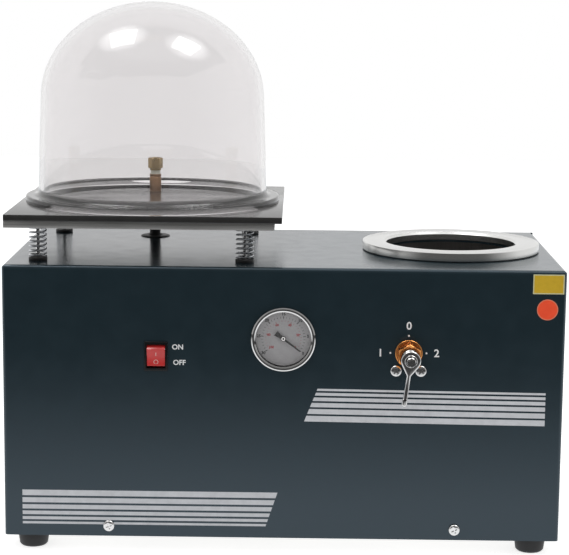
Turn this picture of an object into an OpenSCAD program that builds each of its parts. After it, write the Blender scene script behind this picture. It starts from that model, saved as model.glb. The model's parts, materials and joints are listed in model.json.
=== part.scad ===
// Bench-top vacuum casting machine: a sheet-steel casing with a sprung investment table and bell
// jar on the left, a flask chamber on the right, and the vacuum pump, valve and gauge between them.

/* [Casing] */
// Width of the casing
body_w = 565; // [540:1:600]
// Depth of the casing
body_d = 282; // [270:1:310]
// Height of the casing without its feet
body_h = 279; // [265:1:300]
// Thickness of the sheet steel
sheet_t = 1.5; // [1:0.1:2]
// Outer bend radius of the folded edges
bend_r = 4; // [3:0.5:6]
// Height of the rubber feet
foot_h = 17; // [12:1:20]
// Diameter of the rubber feet at the casing
foot_d = 33; // [28:1:38]
// Distance from the casing's edges to the middle of a foot
foot_inset = 26; // [22:1:32]
// Distance of the front screws from the middle of the casing
screw_x = 176; // [150:1:200]
// Height of the lower screws above the casing's bottom edge
screw_up = 11; // [10:1:14]
// Diameter of a panel screw's head
screw_head_d = 12; // [9:0.5:13]

/* [Investment table] */
// Distance of the table's middle to the left of the casing's middle
table_x = 145.5; // [140:0.5:150]
// Side of the square steel plate
plate_side = 271; // [260:1:280]
// Thickness of the steel plate
plate_t = 7.3; // [5:0.1:8]
// Side of the square rubber mat
mat_side = 278; // [270:1:284]
// Distance that the mat sits to the right of the plate
mat_shift = 4; // [0:0.5:6]
// Thickness of the rubber mat
mat_t = 6.6; // [4:0.1:8]
// Gap from the casing's top to the underside of the plate
table_gap = 36.4; // [32:0.1:44]
// Distance from the table's middle to a spring, along each side
spring_at = 105; // [95:1:110]
// Outer diameter of a spring
spring_d = 18.8; // [16:0.1:22]
// Diameter of the spring wire
wire_d = 1.8; // [1.4:0.1:2]
// Open turns of a spring, without its closed ends
open_turns = 5.9; // [4:0.1:6.2]
// Height of a spring seat above the casing's top
seat_h = 3; // [2:0.5:6]
// Diameter of a spring's guide stud
stud_d = 4; // [3:0.5:6]
// Distance of the nozzle behind the table's middle
nozzle_back = 80; // [70:1:88]
// Height of the nozzle above the mat
nozzle_h = 37.4; // [30:0.1:45]
// Diameter of the nozzle pipe
pipe_d = 13; // [11:0.5:14]
// Outer diameter of the vacuum hoses
hose_d = 12; // [11:0.5:13]

/* [Bell jar] */
// Outer radius of the jar at its foot
jar_r = 121; // [115:1:125]
// Outer radius of the jar where the dome starts
dome_r = 117.5; // [112:0.5:122]
// Height of the jar
jar_h = 209.4; // [190:0.1:230]
// Height of the domed part
dome_h = 100; // [80:1:110]
// Radius of the jar's ground flange
jar_flange_r = 134.3; // [128:0.1:138]
// Thickness of the ground flange
jar_flange_t = 7; // [5:0.5:9]
// Thickness of the jar's wall
jar_wall = 5; // [4:0.5:7]

/* [Casting chamber] */
// Distance of the chamber's axis to the right of the casing's middle
chamber_x = 176.8; // [170:0.1:180]
// Outer radius of the machined flange
flange_r = 94; // [90:0.5:97]
// Radius of the flask opening
opening_r = 68.8; // [60:0.1:70]
// Thickness of the machined flange
flange_t = 8.5; // [6:0.5:12]
// Depth of the canister below the casing's top sheet
canister_h = 190; // [150:5:210]

/* [Controls] */
// Distance of the valve to the right of the casing's middle
valve_x = 126; // [120:0.5:132]
// Height of the valve above the casing's bottom edge
valve_up = 194; // [190:0.5:200]
// Distance from the front panel to the tip of the valve's stem
valve_reach = 51; // [46:1:54]
// Length of the lever below the stem
lever_len = 46.5; // [36:0.5:50]
// Lean of the lever from straight down, towards the left
lever_lean = 7.5; // [0:0.5:15]
// Height of the gauge's middle above the casing's bottom edge
gauge_up = 207.5; // [200:0.5:214]
// Radius of the gauge's bezel
gauge_r = 32.3; // [32.3:0.1:36]
// Distance of the switch to the left of the casing's middle
switch_x = 127.8; // [120:0.1:135]
// Height of the switch's middle above the casing's bottom edge
switch_up = 188; // [182:0.5:196]

/* [Hidden] */
$fn = 48;

// Play left round a part that is only held, and round one that moves.
held = 0.1;
free = 0.3;
running = 0.06;
// Small overlap that makes a cut pass through a face.
cut = 1;

// How far fittings stand out at the back, and the shift that centres the whole machine in depth.
rear_reach = 2.8;
mid_y = (valve_reach - rear_reach) / 2;

// Levels above the ground.
base_z = foot_h;
top_z = foot_h + body_h;
plate_z = top_z + table_gap;
mat_z = plate_z + plate_t;
mat_top_z = mat_z + mat_t;

// Faces of the casing, measured from its middle.
half_w = body_w / 2;
front_y = -body_d / 2;
back_y = body_d / 2;
hood_back_y = back_y - sheet_t;
inner_w = body_w - 2 * sheet_t;
return_w = 14;
lip_h = 24;

// Panel screws are M4: the head, the shank and the hole.
m4_r = 2;
m4_hole_r = 2.3;
screw_head_h = 3.2;
screw_len = 12;
side_head_h = 2.8;
foot_recess = 7;
side_screw_y = [-90, 90];
rear_screw_x = [-240, 0, 240];

module in_frame() {
    translate([0, mid_y, 0]) children();
}

// Turns a shape that is drawn upwards so that it points forwards, backwards, left or right.
module forwards() {
    rotate([90, 0, 0]) children();
}

module backwards() {
    rotate([-90, 0, 0]) children();
}

module leftwards() {
    rotate([0, -90, 0]) children();
}

module rightwards() {
    rotate([0, 90, 0]) children();
}

module tube(r_out, r_in, h) {
    difference() {
        cylinder(r = r_out, h = h);
        translate([0, 0, -cut]) cylinder(r = r_in, h = h + 2 * cut);
    }
}

module hex_prism(across_flats, h) {
    cylinder(r = across_flats / 2 / cos(30), h = h, $fn = 6);
}

module hex_nut(across_flats, r_in, h) {
    difference() {
        hex_prism(across_flats, h);
        translate([0, 0, -cut]) cylinder(r = r_in, h = h + 2 * cut);
    }
}

// A pan-head screw whose head rests on z = 0 and whose shank runs down.
module pan_screw(head_d = screw_head_d, head_h = screw_head_h, shank_r = m4_r, len = screw_len) {
    rim_h = head_h * 0.45;
    slot_w = 1.2;
    difference() {
        union() {
            cylinder(d = head_d, h = rim_h);
            translate([0, 0, rim_h]) cylinder(d1 = head_d, d2 = head_d * 0.55, h = head_h - rim_h);
        }
        for (a = [0, 90]) {
            rotate([0, 0, a]) translate([0, 0, head_h]) cube([head_d * 0.5, slot_w, 2.4], center = true);
        }
    }
    translate([0, 0, -len]) cylinder(r = shank_r, h = len);
}

// A hose barb along z: a spigot with two ridges, and a bore through it.
module barb(len = barb_len, bore_r = barb_bore_r) {
    difference() {
        union() {
            cylinder(r = barb_r, h = len);
            for (k = [0 : 1]) {
                translate([0, 0, len - 4 - 4.5 * k])
                    cylinder(r1 = barb_r + 0.15, r2 = barb_r - 0.4, h = 4);
            }
        }
        translate([0, 0, -cut]) cylinder(r = bore_r, h = len + 2 * cut);
    }
}
barb_r = 4;
barb_len = 16;
barb_bore_r = 2.2;

// ---- Swept tubes ----

function unit(v) = v / norm(v);

// A point on the smooth curve through b and c.
function on_curve(a, b, c, d, t) =
    0.5 * (2 * b + (c - a) * t + (2 * a - 5 * b + 4 * c - d) * t * t + (3 * b - a - 3 * c + d) * t * t * t);

// A smooth path through hand-placed points, with a given number of steps from each to the next.
function smooth(p, steps) = let (n = len(p)) [
    for (i = [0 : n - 2], s = [0 : steps - 1])
        on_curve(
            i == 0 ? 2 * p[0] - p[1] : p[i - 1], p[i], p[i + 1],
            i == n - 2 ? 2 * p[n - 1] - p[n - 2] : p[i + 2], s / steps
        ),
    p[n - 1]
];

function heading(p, i) = unit(p[min(i + 1, len(p) - 1)] - p[max(i - 1, 0)]);
function square_to(t) = unit(cross(t, abs(t[2]) < 0.9 ? [0, 0, 1] : [1, 0, 0]));
function carried(n, t) = unit(n - (n * t) * t);

// Normals carried along the path without twisting.
function normals(p, i = 0, n = undef) = i == len(p)
    ? []
    : let (t = heading(p, i), m = is_undef(n) ? square_to(t) : carried(n, t))
        concat([m], normals(p, i + 1, m));

function rings(p, n, r, sides) = [
    for (i = [0 : len(p) - 1], j = [0 : sides - 1])
        let (t = heading(p, i), a = 360 * j / sides) p[i] + r * (cos(a) * n[i] + sin(a) * cross(t, n[i]))
];

// Triangles between neighbouring rings, whose points start at a given number.
function wall(count, sides, from) = [
    for (i = [0 : count - 2], j = [0 : sides - 1])
        let (a = from + i * sides + j, b = from + i * sides + (j + 1) % sides)
            for (f = [[a, a + sides, b], [b, a + sides, b + sides]]) f
];
function flipped(faces) = [for (f = faces) [f[0], f[2], f[1]]];
function disc(sides, from) = [for (j = [1 : sides - 2]) [from, from + j, from + j + 1]];
function washer(sides, outer, inner) = [
    for (j = [0 : sides - 1])
        let (k = (j + 1) % sides)
            for (f = [[inner + j, outer + j, outer + k], [inner + j, outer + k, inner + k]]) f
];

// A solid tube of radius r along a path.
module sweep(p, r, sides) {
    n = normals(p);
    last = (len(p) - 1) * sides;
    ends = concat(disc(sides, 0), flipped(disc(sides, last)));
    polyhedron(rings(p, n, r, sides), concat(wall(len(p), sides, 0), ends));
}

hose_sides = 12;
hose_steps = 4;
hose_bore_r = 4.3;

// A hose along the smooth curve through a route's points, with its bore.
module hose(route) {
    p = smooth(route, hose_steps);
    n = normals(p);
    last = (len(p) - 1) * hose_sides;
    bore = len(p) * hose_sides;
    points = concat(rings(p, n, hose_d / 2, hose_sides), rings(p, n, hose_bore_r, hose_sides));
    sides = concat(wall(len(p), hose_sides, 0), flipped(wall(len(p), hose_sides, bore)));
    ends = concat(washer(hose_sides, 0, bore), flipped(washer(hose_sides, last, bore + last)));
    polyhedron(points, concat(sides, ends));
}

// The first points of a hose that is pushed over a barb and leaves it straight, and the last ones.
function off_barb(at, way) = [at, at + (barb_len + 1) * way, at + (barb_len + 7) * way];
function onto_barb(at, way) = [at + (barb_len + 7) * way, at + (barb_len + 1) * way, at];

// ---- Casing ----

// A square with two round upper corners, standing on its lower edge.
module arch_2d(w, h, r) {
    translate([-w / 2, 0]) square([w, h - r]);
    translate([-w / 2 + r, 0]) square([w - 2 * r, h]);
    for (s = [-1, 1]) {
        translate([s * (w / 2 - r), h - r]) circle(r = r);
    }
}

// A block whose top and front edges are bent round: y runs from y0 back to y1, z up to z1.
module folded_block(w, y0, y1, z0, z1, r) {
    d = y1 - y0;
    intersection() {
        translate([0, y1, z0]) forwards() linear_extrude(d) arch_2d(w, z1 - z0, r);
        translate([0, y1, z0]) linear_extrude(z1 - z0) mirror([0, 1]) arch_2d(w, d, r);
        translate([-w / 2, 0, 0]) rotate([90, 0, 90]) linear_extrude(w) {
            translate([y0 + r, z0]) square([d - r, z1 - z0]);
            translate([y0, z0]) square([d, z1 - z0 - r]);
            translate([y0 + r, z1 - r]) circle(r = r);
        }
    }
}

// Places its children at the four corners of a square round the table's middle.
module at_springs() {
    for (x = [-1, 1], y = [-1, 1]) {
        translate([-table_x + x * spring_at, y * spring_at, 0]) children();
    }
}

module at_feet() {
    for (x = [-1, 1], y = [-1, 1]) {
        translate([x * (half_w - foot_inset), y * (body_d / 2 - foot_inset), 0]) children();
    }
}

seat_r = 9.5;
seat_spigot_r = 6;
grommet_r = 16.2;
grommet_neck_r = 13;
flange_stud_at = 81;
flange_stud_n = 6;
flange_stud_r = 2.5;
valve_z = base_z + valve_up;
gauge_z = base_z + gauge_up;
switch_z = base_z + switch_up;
gauge_case_r = gauge_r - 1.8;
neck_r = 6;
bracket_screw_dx = 12.5;
bracket_screw_dz = -18.1;
switch_cut = [21.8, 27];

module at_flange_studs() {
    for (k = [0 : flange_stud_n - 1]) {
        translate([chamber_x, 0, 0]) rotate([0, 0, 30 + k * 360 / flange_stud_n])
            translate([flange_stud_at, 0, 0]) children();
    }
}

// Places its children on the outer face of each side and turns them outwards.
module at_side_screws() {
    for (s = [-1, 1], y = side_screw_y) {
        translate([s * half_w, y, base_z + screw_up]) rotate([0, s * 90, 0]) children();
    }
}

module at_front_screws() {
    for (s = [-1, 1]) {
        translate([s * screw_x, front_y, base_z + screw_up]) forwards() children();
    }
}

module at_rear_screws() {
    for (x = rear_screw_x, z = [base_z + screw_up, top_z - screw_up]) {
        translate([x, back_y, z]) backwards() children();
    }
}

module at_bracket_screws() {
    for (s = [-1, 1]) {
        translate([valve_x + s * bracket_screw_dx, front_y, valve_z + bracket_screw_dz]) forwards()
            children();
    }
}

module through_hole(r) {
    translate([0, 0, -20]) cylinder(r = r, h = 40);
}

module cover_shell() in_frame() color([0.16, 0.22, 0.26]) {
    difference() {
        folded_block(body_w, front_y, hood_back_y, base_z, top_z, bend_r);
        folded_block(
            inner_w, front_y + sheet_t, hood_back_y - sheet_t,
            base_z - cut, top_z - sheet_t, bend_r - sheet_t
        );
        translate([-half_w + return_w, 0, base_z - cut])
            cube([body_w - 2 * return_w, back_y, body_h - return_w + cut]);
        translate([-inner_w / 2, 0, base_z - cut]) cube([inner_w, back_y, lip_h + 2 + cut]);
        at_front_screws() through_hole(m4_hole_r);
        at_side_screws() through_hole(m4_hole_r);
        at_rear_screws() through_hole(m4_hole_r);
        at_bracket_screws() through_hole(m4_hole_r);
        translate([0, front_y, gauge_z]) forwards() through_hole(gauge_case_r + held);
        translate([valve_x, front_y, valve_z]) forwards() through_hole(neck_r + held);
        translate([-switch_x, front_y, switch_z]) cube([switch_cut[0], 20, switch_cut[1]], center = true);
        translate([chamber_x, 0, top_z]) through_hole(opening_r + 1);
        translate([0, 0, top_z]) at_flange_studs() through_hole(flange_stud_r + held);
        translate([0, 0, top_z]) at_springs() through_hole(seat_spigot_r + held);
        translate([-table_x, nozzle_back, top_z]) through_hole(grommet_neck_r + held);
    }
}

// The pan's outline from a level upwards, drawn in by some amount. Its front corners are bent round.
module pan_block(inset, z, h) {
    w = inner_w - 2 * (free + inset);
    d = hood_back_y - front_y - sheet_t - free - 2 * inset;
    translate([0, hood_back_y - inset, z]) linear_extrude(h) mirror([0, 1])
        arch_2d(w, d, bend_r - sheet_t - inset);
}

module base_pan() in_frame() color([0.55, 0.57, 0.6]) {
    difference() {
        pan_block(0, base_z, lip_h);
        pan_block(sheet_t, base_z + sheet_t, lip_h);
        at_front_screws() through_hole(m4_hole_r);
        at_side_screws() through_hole(m4_hole_r);
        at_rear_screws() through_hole(m4_hole_r);
        translate([0, 0, base_z]) at_feet() through_hole(m4_hole_r);
        translate([0, 0, base_z]) at_mounts() through_hole(mount_bolt_r + held);
    }
}

inlet_x = -200;
inlet_z = base_z + 60;
inlet_cut = [27.4, 20.4];
louvre_w = 70;
louvre_n = 7;

module rear_panel() in_frame() color([0.16, 0.22, 0.26]) {
    difference() {
        translate([-half_w, hood_back_y, base_z]) cube([body_w, sheet_t, body_h]);
        at_rear_screws() through_hole(m4_hole_r);
        translate([inlet_x, back_y, inlet_z]) cube([inlet_cut[0], 20, inlet_cut[1]], center = true);
        for (x = [-60, 120], k = [0 : louvre_n - 1]) {
            translate([x, back_y, base_z + 90 + 14 * k]) cube([louvre_w, 20, 4], center = true);
        }
    }
}

module rubber_feet() in_frame() color([0.07, 0.07, 0.08]) {
    at_feet() difference() {
        union() {
            translate([0, 0, 2]) cylinder(d1 = foot_d - 4, d2 = foot_d, h = foot_h - 2);
            cylinder(d1 = foot_d - 8, d2 = foot_d - 4, h = 2);
        }
        translate([0, 0, -cut]) cylinder(r = 5, h = foot_recess + cut);
        translate([0, 0, -cut]) cylinder(r = m4_r + held, h = foot_h + 2 * cut);
    }
}

module case_screws() in_frame() color([0.8, 0.82, 0.84]) {
    at_front_screws() pan_screw();
    at_side_screws() pan_screw(head_d = 9, head_h = side_head_h);
    at_rear_screws() pan_screw(head_d = 9, head_h = side_head_h);
    at_bracket_screws() pan_screw(len = sheet_t + bracket_t + 2);
    at_feet() translate([0, 0, foot_recess]) rotate([180, 0, 0])
        pan_screw(head_d = 9, head_h = side_head_h, len = foot_h - foot_recess + 5);
}

// ---- Investment table ----

stud_r = stud_d / 2;
stud_in_plate = 5;
stop_gap = 0.2;
spigot_below = 4;
stud_nut_t = 5;
stud_top_z = plate_z + stud_in_plate;
seat_low_z = top_z - sheet_t - spigot_below;
nut_top_z = seat_low_z - stop_gap;
nozzle_head_h = 12;
tape_top_z = mat_top_z + nozzle_h - nozzle_head_h - 2;
tape_h = 4.2;

module table_plate() in_frame() color([0.6, 0.6, 0.58]) {
    difference() {
        translate([-table_x - plate_side / 2, -plate_side / 2, plate_z])
            cube([plate_side, plate_side, plate_t]);
        at_springs() translate([0, 0, plate_z - cut]) cylinder(r = stud_r, h = stud_in_plate + cut);
        translate([-table_x, nozzle_back, plate_z]) through_hole(pipe_d / 2 + held);
    }
}

module table_mat() in_frame() color([0.1, 0.1, 0.11]) {
    difference() {
        translate([-table_x + mat_shift - mat_side / 2, -mat_side / 2, mat_z])
            cube([mat_side, mat_side, mat_t]);
        translate([-table_x, nozzle_back, mat_z]) through_hole(pipe_d / 2 + held);
    }
}

module spring_studs() in_frame() color("silver") {
    at_springs() translate([0, 0, nut_top_z - stud_nut_t - 4])
        cylinder(r = stud_r, h = stud_top_z - nut_top_z + stud_nut_t + 4);
}

module stud_nuts() in_frame() color("silver") {
    at_springs() translate([0, 0, nut_top_z - stud_nut_t]) {
        hex_nut(7, stud_r, stud_nut_t - 1);
        translate([0, 0, stud_nut_t - 1]) tube(5, stud_r, 1);
    }
}

module spring_seats() in_frame() color([0.08, 0.08, 0.08]) {
    at_springs() difference() {
        union() {
            translate([0, 0, top_z]) cylinder(r = seat_r, h = seat_h);
            translate([0, 0, seat_low_z]) cylinder(r = seat_spigot_r, h = top_z - seat_low_z + cut);
        }
        translate([0, 0, seat_low_z - cut]) cylinder(r = stud_r + running, h = seat_h + 20);
    }
}

// A spring's wire: closed ends, where the turns nearly touch, and open turns between them.
ring_per_turn = 8;
wire_sides = 6;
closed_turns = 0.75;
closed_pitch = wire_d + 0.5;
coil_r = (spring_d - wire_d) / 2;
spring_low_z = top_z + seat_h + wire_d / 2 + 0.05;
spring_high_z = plate_z - wire_d / 2 - free;
all_turns = open_turns + 2 * closed_turns;
open_pitch = (spring_high_z - spring_low_z - 2 * closed_turns * closed_pitch) / open_turns;

function coil_z(turn) = turn < closed_turns
    ? turn * closed_pitch
    : turn > all_turns - closed_turns
        ? spring_high_z - spring_low_z - (all_turns - turn) * closed_pitch
        : closed_turns * closed_pitch + (turn - closed_turns) * open_pitch;

coil = [
    for (k = [0 : ceil(all_turns * ring_per_turn)])
        let (turn = min(k / ring_per_turn, all_turns), a = 360 * turn)
            [coil_r * cos(a), coil_r * sin(a), coil_z(turn)]
];

coil_gap = min([
    for (i = [0 : len(coil) - 1], j = [i + 5 : 1 : len(coil) - 1]) norm(coil[i] - coil[j])
]) - wire_d;
echo(spring_gap = coil_gap, turns = all_turns);

module spring(x, y) in_frame() color([0.75, 0.76, 0.78]) {
    translate([-table_x + x * spring_at, y * spring_at, spring_low_z]) sweep(coil, wire_d / 2, wire_sides);
}

module nozzle_pipe() in_frame() color([0.6, 0.46, 0.26]) {
    translate([-table_x, nozzle_back, 0]) {
        translate([0, 0, plate_z]) tube(pipe_d / 2, barb_bore_r, tape_top_z - tape_h - plate_z);
        translate([0, 0, tape_top_z - tape_h]) tube(barb_r + 1, barb_bore_r, nozzle_head_h);
        translate([0, 0, plate_z]) rotate([180, 0, 0]) barb();
    }
}

module nozzle_head() in_frame() color([0.72, 0.56, 0.28]) {
    translate([-table_x, nozzle_back, tape_top_z]) rotate([0, 0, 8]) difference() {
        union() {
            cylinder(r = pipe_d / 2 - 0.3, h = 2);
            translate([0, 0, 2]) hex_prism(14.2, nozzle_head_h);
        }
        translate([0, 0, -cut]) cylinder(r = barb_r + 1 + held, h = nozzle_head_h - tape_h + cut);
        cylinder(r = 3, h = nozzle_head_h + 3);
    }
}

module nozzle_tape() in_frame() color([0.85, 0.84, 0.78]) {
    translate([-table_x, nozzle_back, tape_top_z - tape_h]) tube(5.7, barb_r + 1, tape_h);
}

module hose_grommet() in_frame() color([0.05, 0.05, 0.05]) {
    translate([-table_x, nozzle_back, top_z]) difference() {
        union() {
            cylinder(r = grommet_r, h = 1.6);
            translate([0, 0, -sheet_t - 2]) cylinder(r = grommet_neck_r, h = sheet_t + 3);
            translate([0, 0, -sheet_t - 2]) cylinder(r = grommet_r - 1, h = 2);
        }
        through_hole(hose_d / 2 + 1.6);
    }
}

// From the barb under the plate down through the grommet, over the pump and forward to the valve.
module table_hose() in_frame() color([0.06, 0.06, 0.06]) {
    valve_end = [valve_x - valve_half - barb_hex_t, valve_mid_y, valve_z];
    hose(concat(
        off_barb([-table_x, nozzle_back, plate_z - free], [0, 0, -1]),
        [[-table_x, nozzle_back, 277], [-132, 70, 258], [-100, 46, 248], [-50, 4, 246], [-5, -34, 245]],
        [[30, -70, 238], [56, -104, 222]], onto_barb(valve_end, [-1, 0, 0])
    ));
}

// ---- Bell jar ----

jar_in_r = 112;
jar_foot_z = 12;

// Points of an ellipse from the dome's edge to the middle, drawn in or out.
function dome(r, h, z0, steps = 14) = [
    for (k = [0 : steps]) let (a = 90 * k / steps) [r * cos(a), z0 + h * sin(a)]
];

module bell_jar() in_frame() color([0.85, 0.88, 0.9, 0.4]) {
    z0 = jar_h - dome_h;
    outside = concat(
        [[jar_in_r, 0], [jar_flange_r - 1, 0], [jar_flange_r, 1], [jar_flange_r, jar_flange_t - 1.5]],
        [[jar_flange_r - 1.5, jar_flange_t], [jar_r + 4, jar_flange_t], [jar_r, jar_foot_z]],
        dome(dome_r, dome_h, z0)
    );
    inside = concat(
        [[jar_in_r, 1], [jar_r - jar_wall, jar_foot_z]],
        dome(dome_r - jar_wall, dome_h - jar_wall, z0)
    );
    n = len(inside);
    translate([-table_x + mat_shift, -5, mat_top_z])
        rotate_extrude($fn = 96) polygon(concat(outside, [for (k = [1 : n]) inside[n - k]]));
}

// ---- Casting chamber ----

canister_r = 75;
canister_t = 2.5;
canister_lip_r = 90;
gasket_t = 1;
canister_z = top_z - sheet_t - canister_h;
barb_hex_t = 6;
chamber_barb_z = base_z + 125;

module at_chamber(z) {
    translate([chamber_x, 0, z]) children();
}

module chamber_flange() in_frame() color([0.83, 0.83, 0.81]) {
    chamfer = 2.5;
    difference() {
        at_chamber(top_z + gasket_t) {
            cylinder(r = flange_r, h = flange_t - 1);
            translate([0, 0, flange_t - 1]) cylinder(r1 = flange_r, r2 = flange_r - 1, h = 1);
        }
        at_chamber(top_z) cylinder(r = opening_r, h = flange_t + 3);
        at_chamber(top_z + gasket_t + flange_t - chamfer)
            cylinder(r1 = opening_r, r2 = opening_r + chamfer + 0.02, h = chamfer + 0.02);
        at_flange_studs() translate([0, 0, top_z]) cylinder(r = flange_stud_r, h = gasket_t + 5);
    }
}

module chamber_gasket() in_frame() color([0.06, 0.06, 0.06]) {
    difference() {
        at_chamber(top_z) tube(flange_r - 1.5, opening_r + 1, gasket_t);
        at_flange_studs() translate([0, 0, top_z]) through_hole(flange_stud_r + held);
    }
}

module chamber_canister() in_frame() color([0.5, 0.49, 0.47]) {
    difference() {
        union() {
            at_chamber(canister_z) cylinder(r = canister_r, h = canister_h);
            at_chamber(top_z - sheet_t - 3) cylinder(r = canister_lip_r, h = 3);
        }
        at_chamber(canister_z + canister_t) cylinder(r = canister_r - canister_t, h = canister_h);
        at_flange_studs() translate([0, 0, top_z]) through_hole(flange_stud_r + held);
        translate([chamber_x, -canister_r, chamber_barb_z]) forwards() through_hole(barb_r + held);
    }
}

module flange_studs() in_frame() color("silver") {
    at_flange_studs() translate([0, 0, top_z - 14]) cylinder(r = flange_stud_r, h = 14 + gasket_t + 5);
}

module flange_nuts() in_frame() color("silver") {
    at_flange_studs() translate([0, 0, top_z - sheet_t - 3 - 4]) hex_nut(8, flange_stud_r, 4);
}

// A hexagon with a barb on one side and a threaded end on the other, drawn upwards.
module barb_fitting(inward) {
    difference() {
        union() {
            translate([0, 0, -inward]) cylinder(r = barb_r, h = inward + 1);
            hex_prism(14, barb_hex_t);
        }
        translate([0, 0, -inward - cut]) cylinder(r = barb_bore_r, h = inward + 20);
    }
    translate([0, 0, barb_hex_t]) barb();
}

// ---- Three-way valve ----

bracket_t = 2;
valve_half = 16;
valve_len = 36;
plug_r = 9;
plug_bore_r = 3.5;
stem_r = 3;
stem_slot_w = 1.2;
stem_slot_d = 1.5;
valve_front_y = front_y + sheet_t + bracket_t;
valve_back_y = valve_front_y + valve_len;
valve_mid_y = valve_front_y + 18;
plug_front_y = valve_front_y + 6;
nut_flange_r = 13.8;
nut_flange_t = 3;
nut_flats = 22;
nut_reach = 20;
gland_r = 8.5;
gland_from = 27;
gland_tip_r = [7.8, 7];
gland_to = 37;
lever_from = 38.5;
lever_t = 2.5;
washer_r = 6.2;
washer_t = 1;
lever_nut_flats = 9;
lever_nut_t = 4.5;
lever_nut_turn = 12;
// Play round the stem in the lever and in its nut, which clamp together.
stem_play = 0.02;
neck_out = 36;
neck_end_y = front_y - neck_out;
stem_tip_y = front_y - valve_reach;

module at_valve(y) {
    translate([valve_x, y, valve_z]) children();
}

module valve_body() in_frame() color([0.72, 0.56, 0.28]) {
    difference() {
        union() {
            translate([valve_x - valve_half, valve_front_y, valve_z - valve_half])
                cube([2 * valve_half, valve_len, 2 * valve_half]);
            at_valve(valve_front_y) forwards() cylinder(r = neck_r, h = valve_front_y - neck_end_y);
        }
        at_valve(plug_front_y) backwards() cylinder(r = plug_r + running, h = valve_len);
        at_valve(plug_front_y + cut) forwards()
            cylinder(r = stem_r + running, h = plug_front_y - neck_end_y + 2 * cut);
        at_valve(valve_mid_y) leftwards() through_hole(barb_r + held);
        at_valve(valve_mid_y) cylinder(r = barb_r + held, h = 20);
    }
}

// The stem turns in the neck. Its cross bore meets the open port that the lever points at.
module valve_plug() in_frame() color([0.75, 0.75, 0.74]) {
    difference() {
        union() {
            at_valve(plug_front_y + 0.2) backwards()
                cylinder(r = plug_r, h = valve_back_y - plug_front_y - 0.4);
            at_valve(plug_front_y + 0.4) forwards()
                cylinder(r = stem_r, h = plug_front_y - stem_tip_y + 0.4);
        }
        at_valve(valve_mid_y) rotate([0, 180 + lever_lean, 0]) cylinder(r = plug_bore_r, h = 20);
        at_valve(valve_mid_y - plug_bore_r) backwards() cylinder(r = plug_bore_r, h = valve_len);
        translate([valve_x - stem_slot_w / 2, stem_tip_y - cut, valve_z - 5])
            cube([stem_slot_w, stem_slot_d + cut, 10]);
    }
}

elbow_len = 20;
elbow_arm = 13;
elbow_y = valve_back_y + 14;

module valve_cap() in_frame() color([0.72, 0.56, 0.28]) {
    difference() {
        union() {
            at_valve(valve_back_y) backwards() cylinder(r = valve_half - 1, h = 5);
            at_valve(valve_back_y) backwards() cylinder(r = 7, h = elbow_len);
            at_valve(elbow_y) leftwards() hex_prism(12, elbow_arm);
        }
        at_valve(valve_back_y - cut) backwards() cylinder(r = barb_bore_r, h = elbow_len - 3);
        at_valve(elbow_y) leftwards() cylinder(r = barb_bore_r, h = 20);
    }
    at_valve(elbow_y) translate([-elbow_arm, 0, 0]) leftwards() barb();
}

// The same fitting three times: the table's and the chamber's port of the valve, and the canister's.
module hose_barbs() in_frame() color([0.72, 0.56, 0.28]) {
    for (s = [-1, 1]) {
        at_valve(valve_mid_y) translate([s * valve_half, 0, 0]) rotate([0, s * 90, 0]) barb_fitting(5);
    }
    translate([chamber_x, -canister_r, chamber_barb_z]) forwards() barb_fitting(4);
}

module valve_vent() in_frame() color([0.68, 0.5, 0.3]) {
    at_valve(valve_mid_y) translate([0, 0, valve_half]) difference() {
        union() {
            translate([0, 0, -5]) cylinder(r = barb_r, h = 6);
            hex_prism(12, 4);
            translate([0, 0, 4]) cylinder(r = 5, h = 9);
            translate([0, 0, 13]) cylinder(r1 = 5, r2 = 3, h = 2);
        }
        translate([0, 0, -6]) cylinder(r = 1.5, h = 17);
    }
}

module panel_nut() in_frame() color([0.75, 0.42, 0.2]) {
    at_valve(front_y) forwards() difference() {
        union() {
            cylinder(r = nut_flange_r, h = nut_flange_t);
            rotate([0, 0, 90]) hex_prism(nut_flats, nut_reach);
        }
        translate([0, 0, -cut]) cylinder(r = neck_r + held, h = nut_reach + 2 * cut);
    }
}

module gland_nut() in_frame() color([0.8, 0.8, 0.8]) {
    at_valve(front_y) forwards() difference() {
        union() {
            translate([0, 0, nut_reach]) cylinder(r = gland_r, h = gland_from - nut_reach);
            translate([0, 0, gland_from])
                cylinder(r1 = gland_tip_r[0], r2 = gland_tip_r[1], h = gland_to - gland_from);
        }
        translate([0, 0, nut_reach - cut]) cylinder(r = neck_r + held, h = neck_out - nut_reach + cut);
        cylinder(r = stem_r + running, h = gland_to + cut);
    }
}

// Points of an arc round a point, from one angle to another.
function arc(at, r, from, to, steps) = [
    for (k = [0 : steps]) let (a = from + (to - from) * k / steps) at + r * [cos(a), sin(a)]
];

// The lever is a teardrop round the stem that narrows to a flat arm with a rounded tip.
module lever_2d() {
    head_r = 10;
    arm_r = 2.1;
    waist_at = 15;
    grip_r = 2.6;
    grip_at = lever_len - 6.9;
    a = asin((head_r - arm_r) / waist_at);
    polygon(concat(
        arc([0, 0], head_r, -a, 180 + a, 24),
        [[-arm_r, -waist_at], [-arm_r, 1 - grip_at], [-grip_r, -grip_at]],
        arc([0, grip_r - lever_len], grip_r, 180, 360, 10),
        [[grip_r, -grip_at], [arm_r, 1 - grip_at], [arm_r, -waist_at]]
    ));
}

module valve_lever() in_frame() color([0.78, 0.78, 0.78]) {
    at_valve(front_y - lever_from) rotate([0, lever_lean, 0]) forwards() difference() {
        linear_extrude(lever_t) lever_2d();
        translate([0, 0, -cut]) cylinder(r = stem_r + stem_play, h = 10);
    }
}

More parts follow.
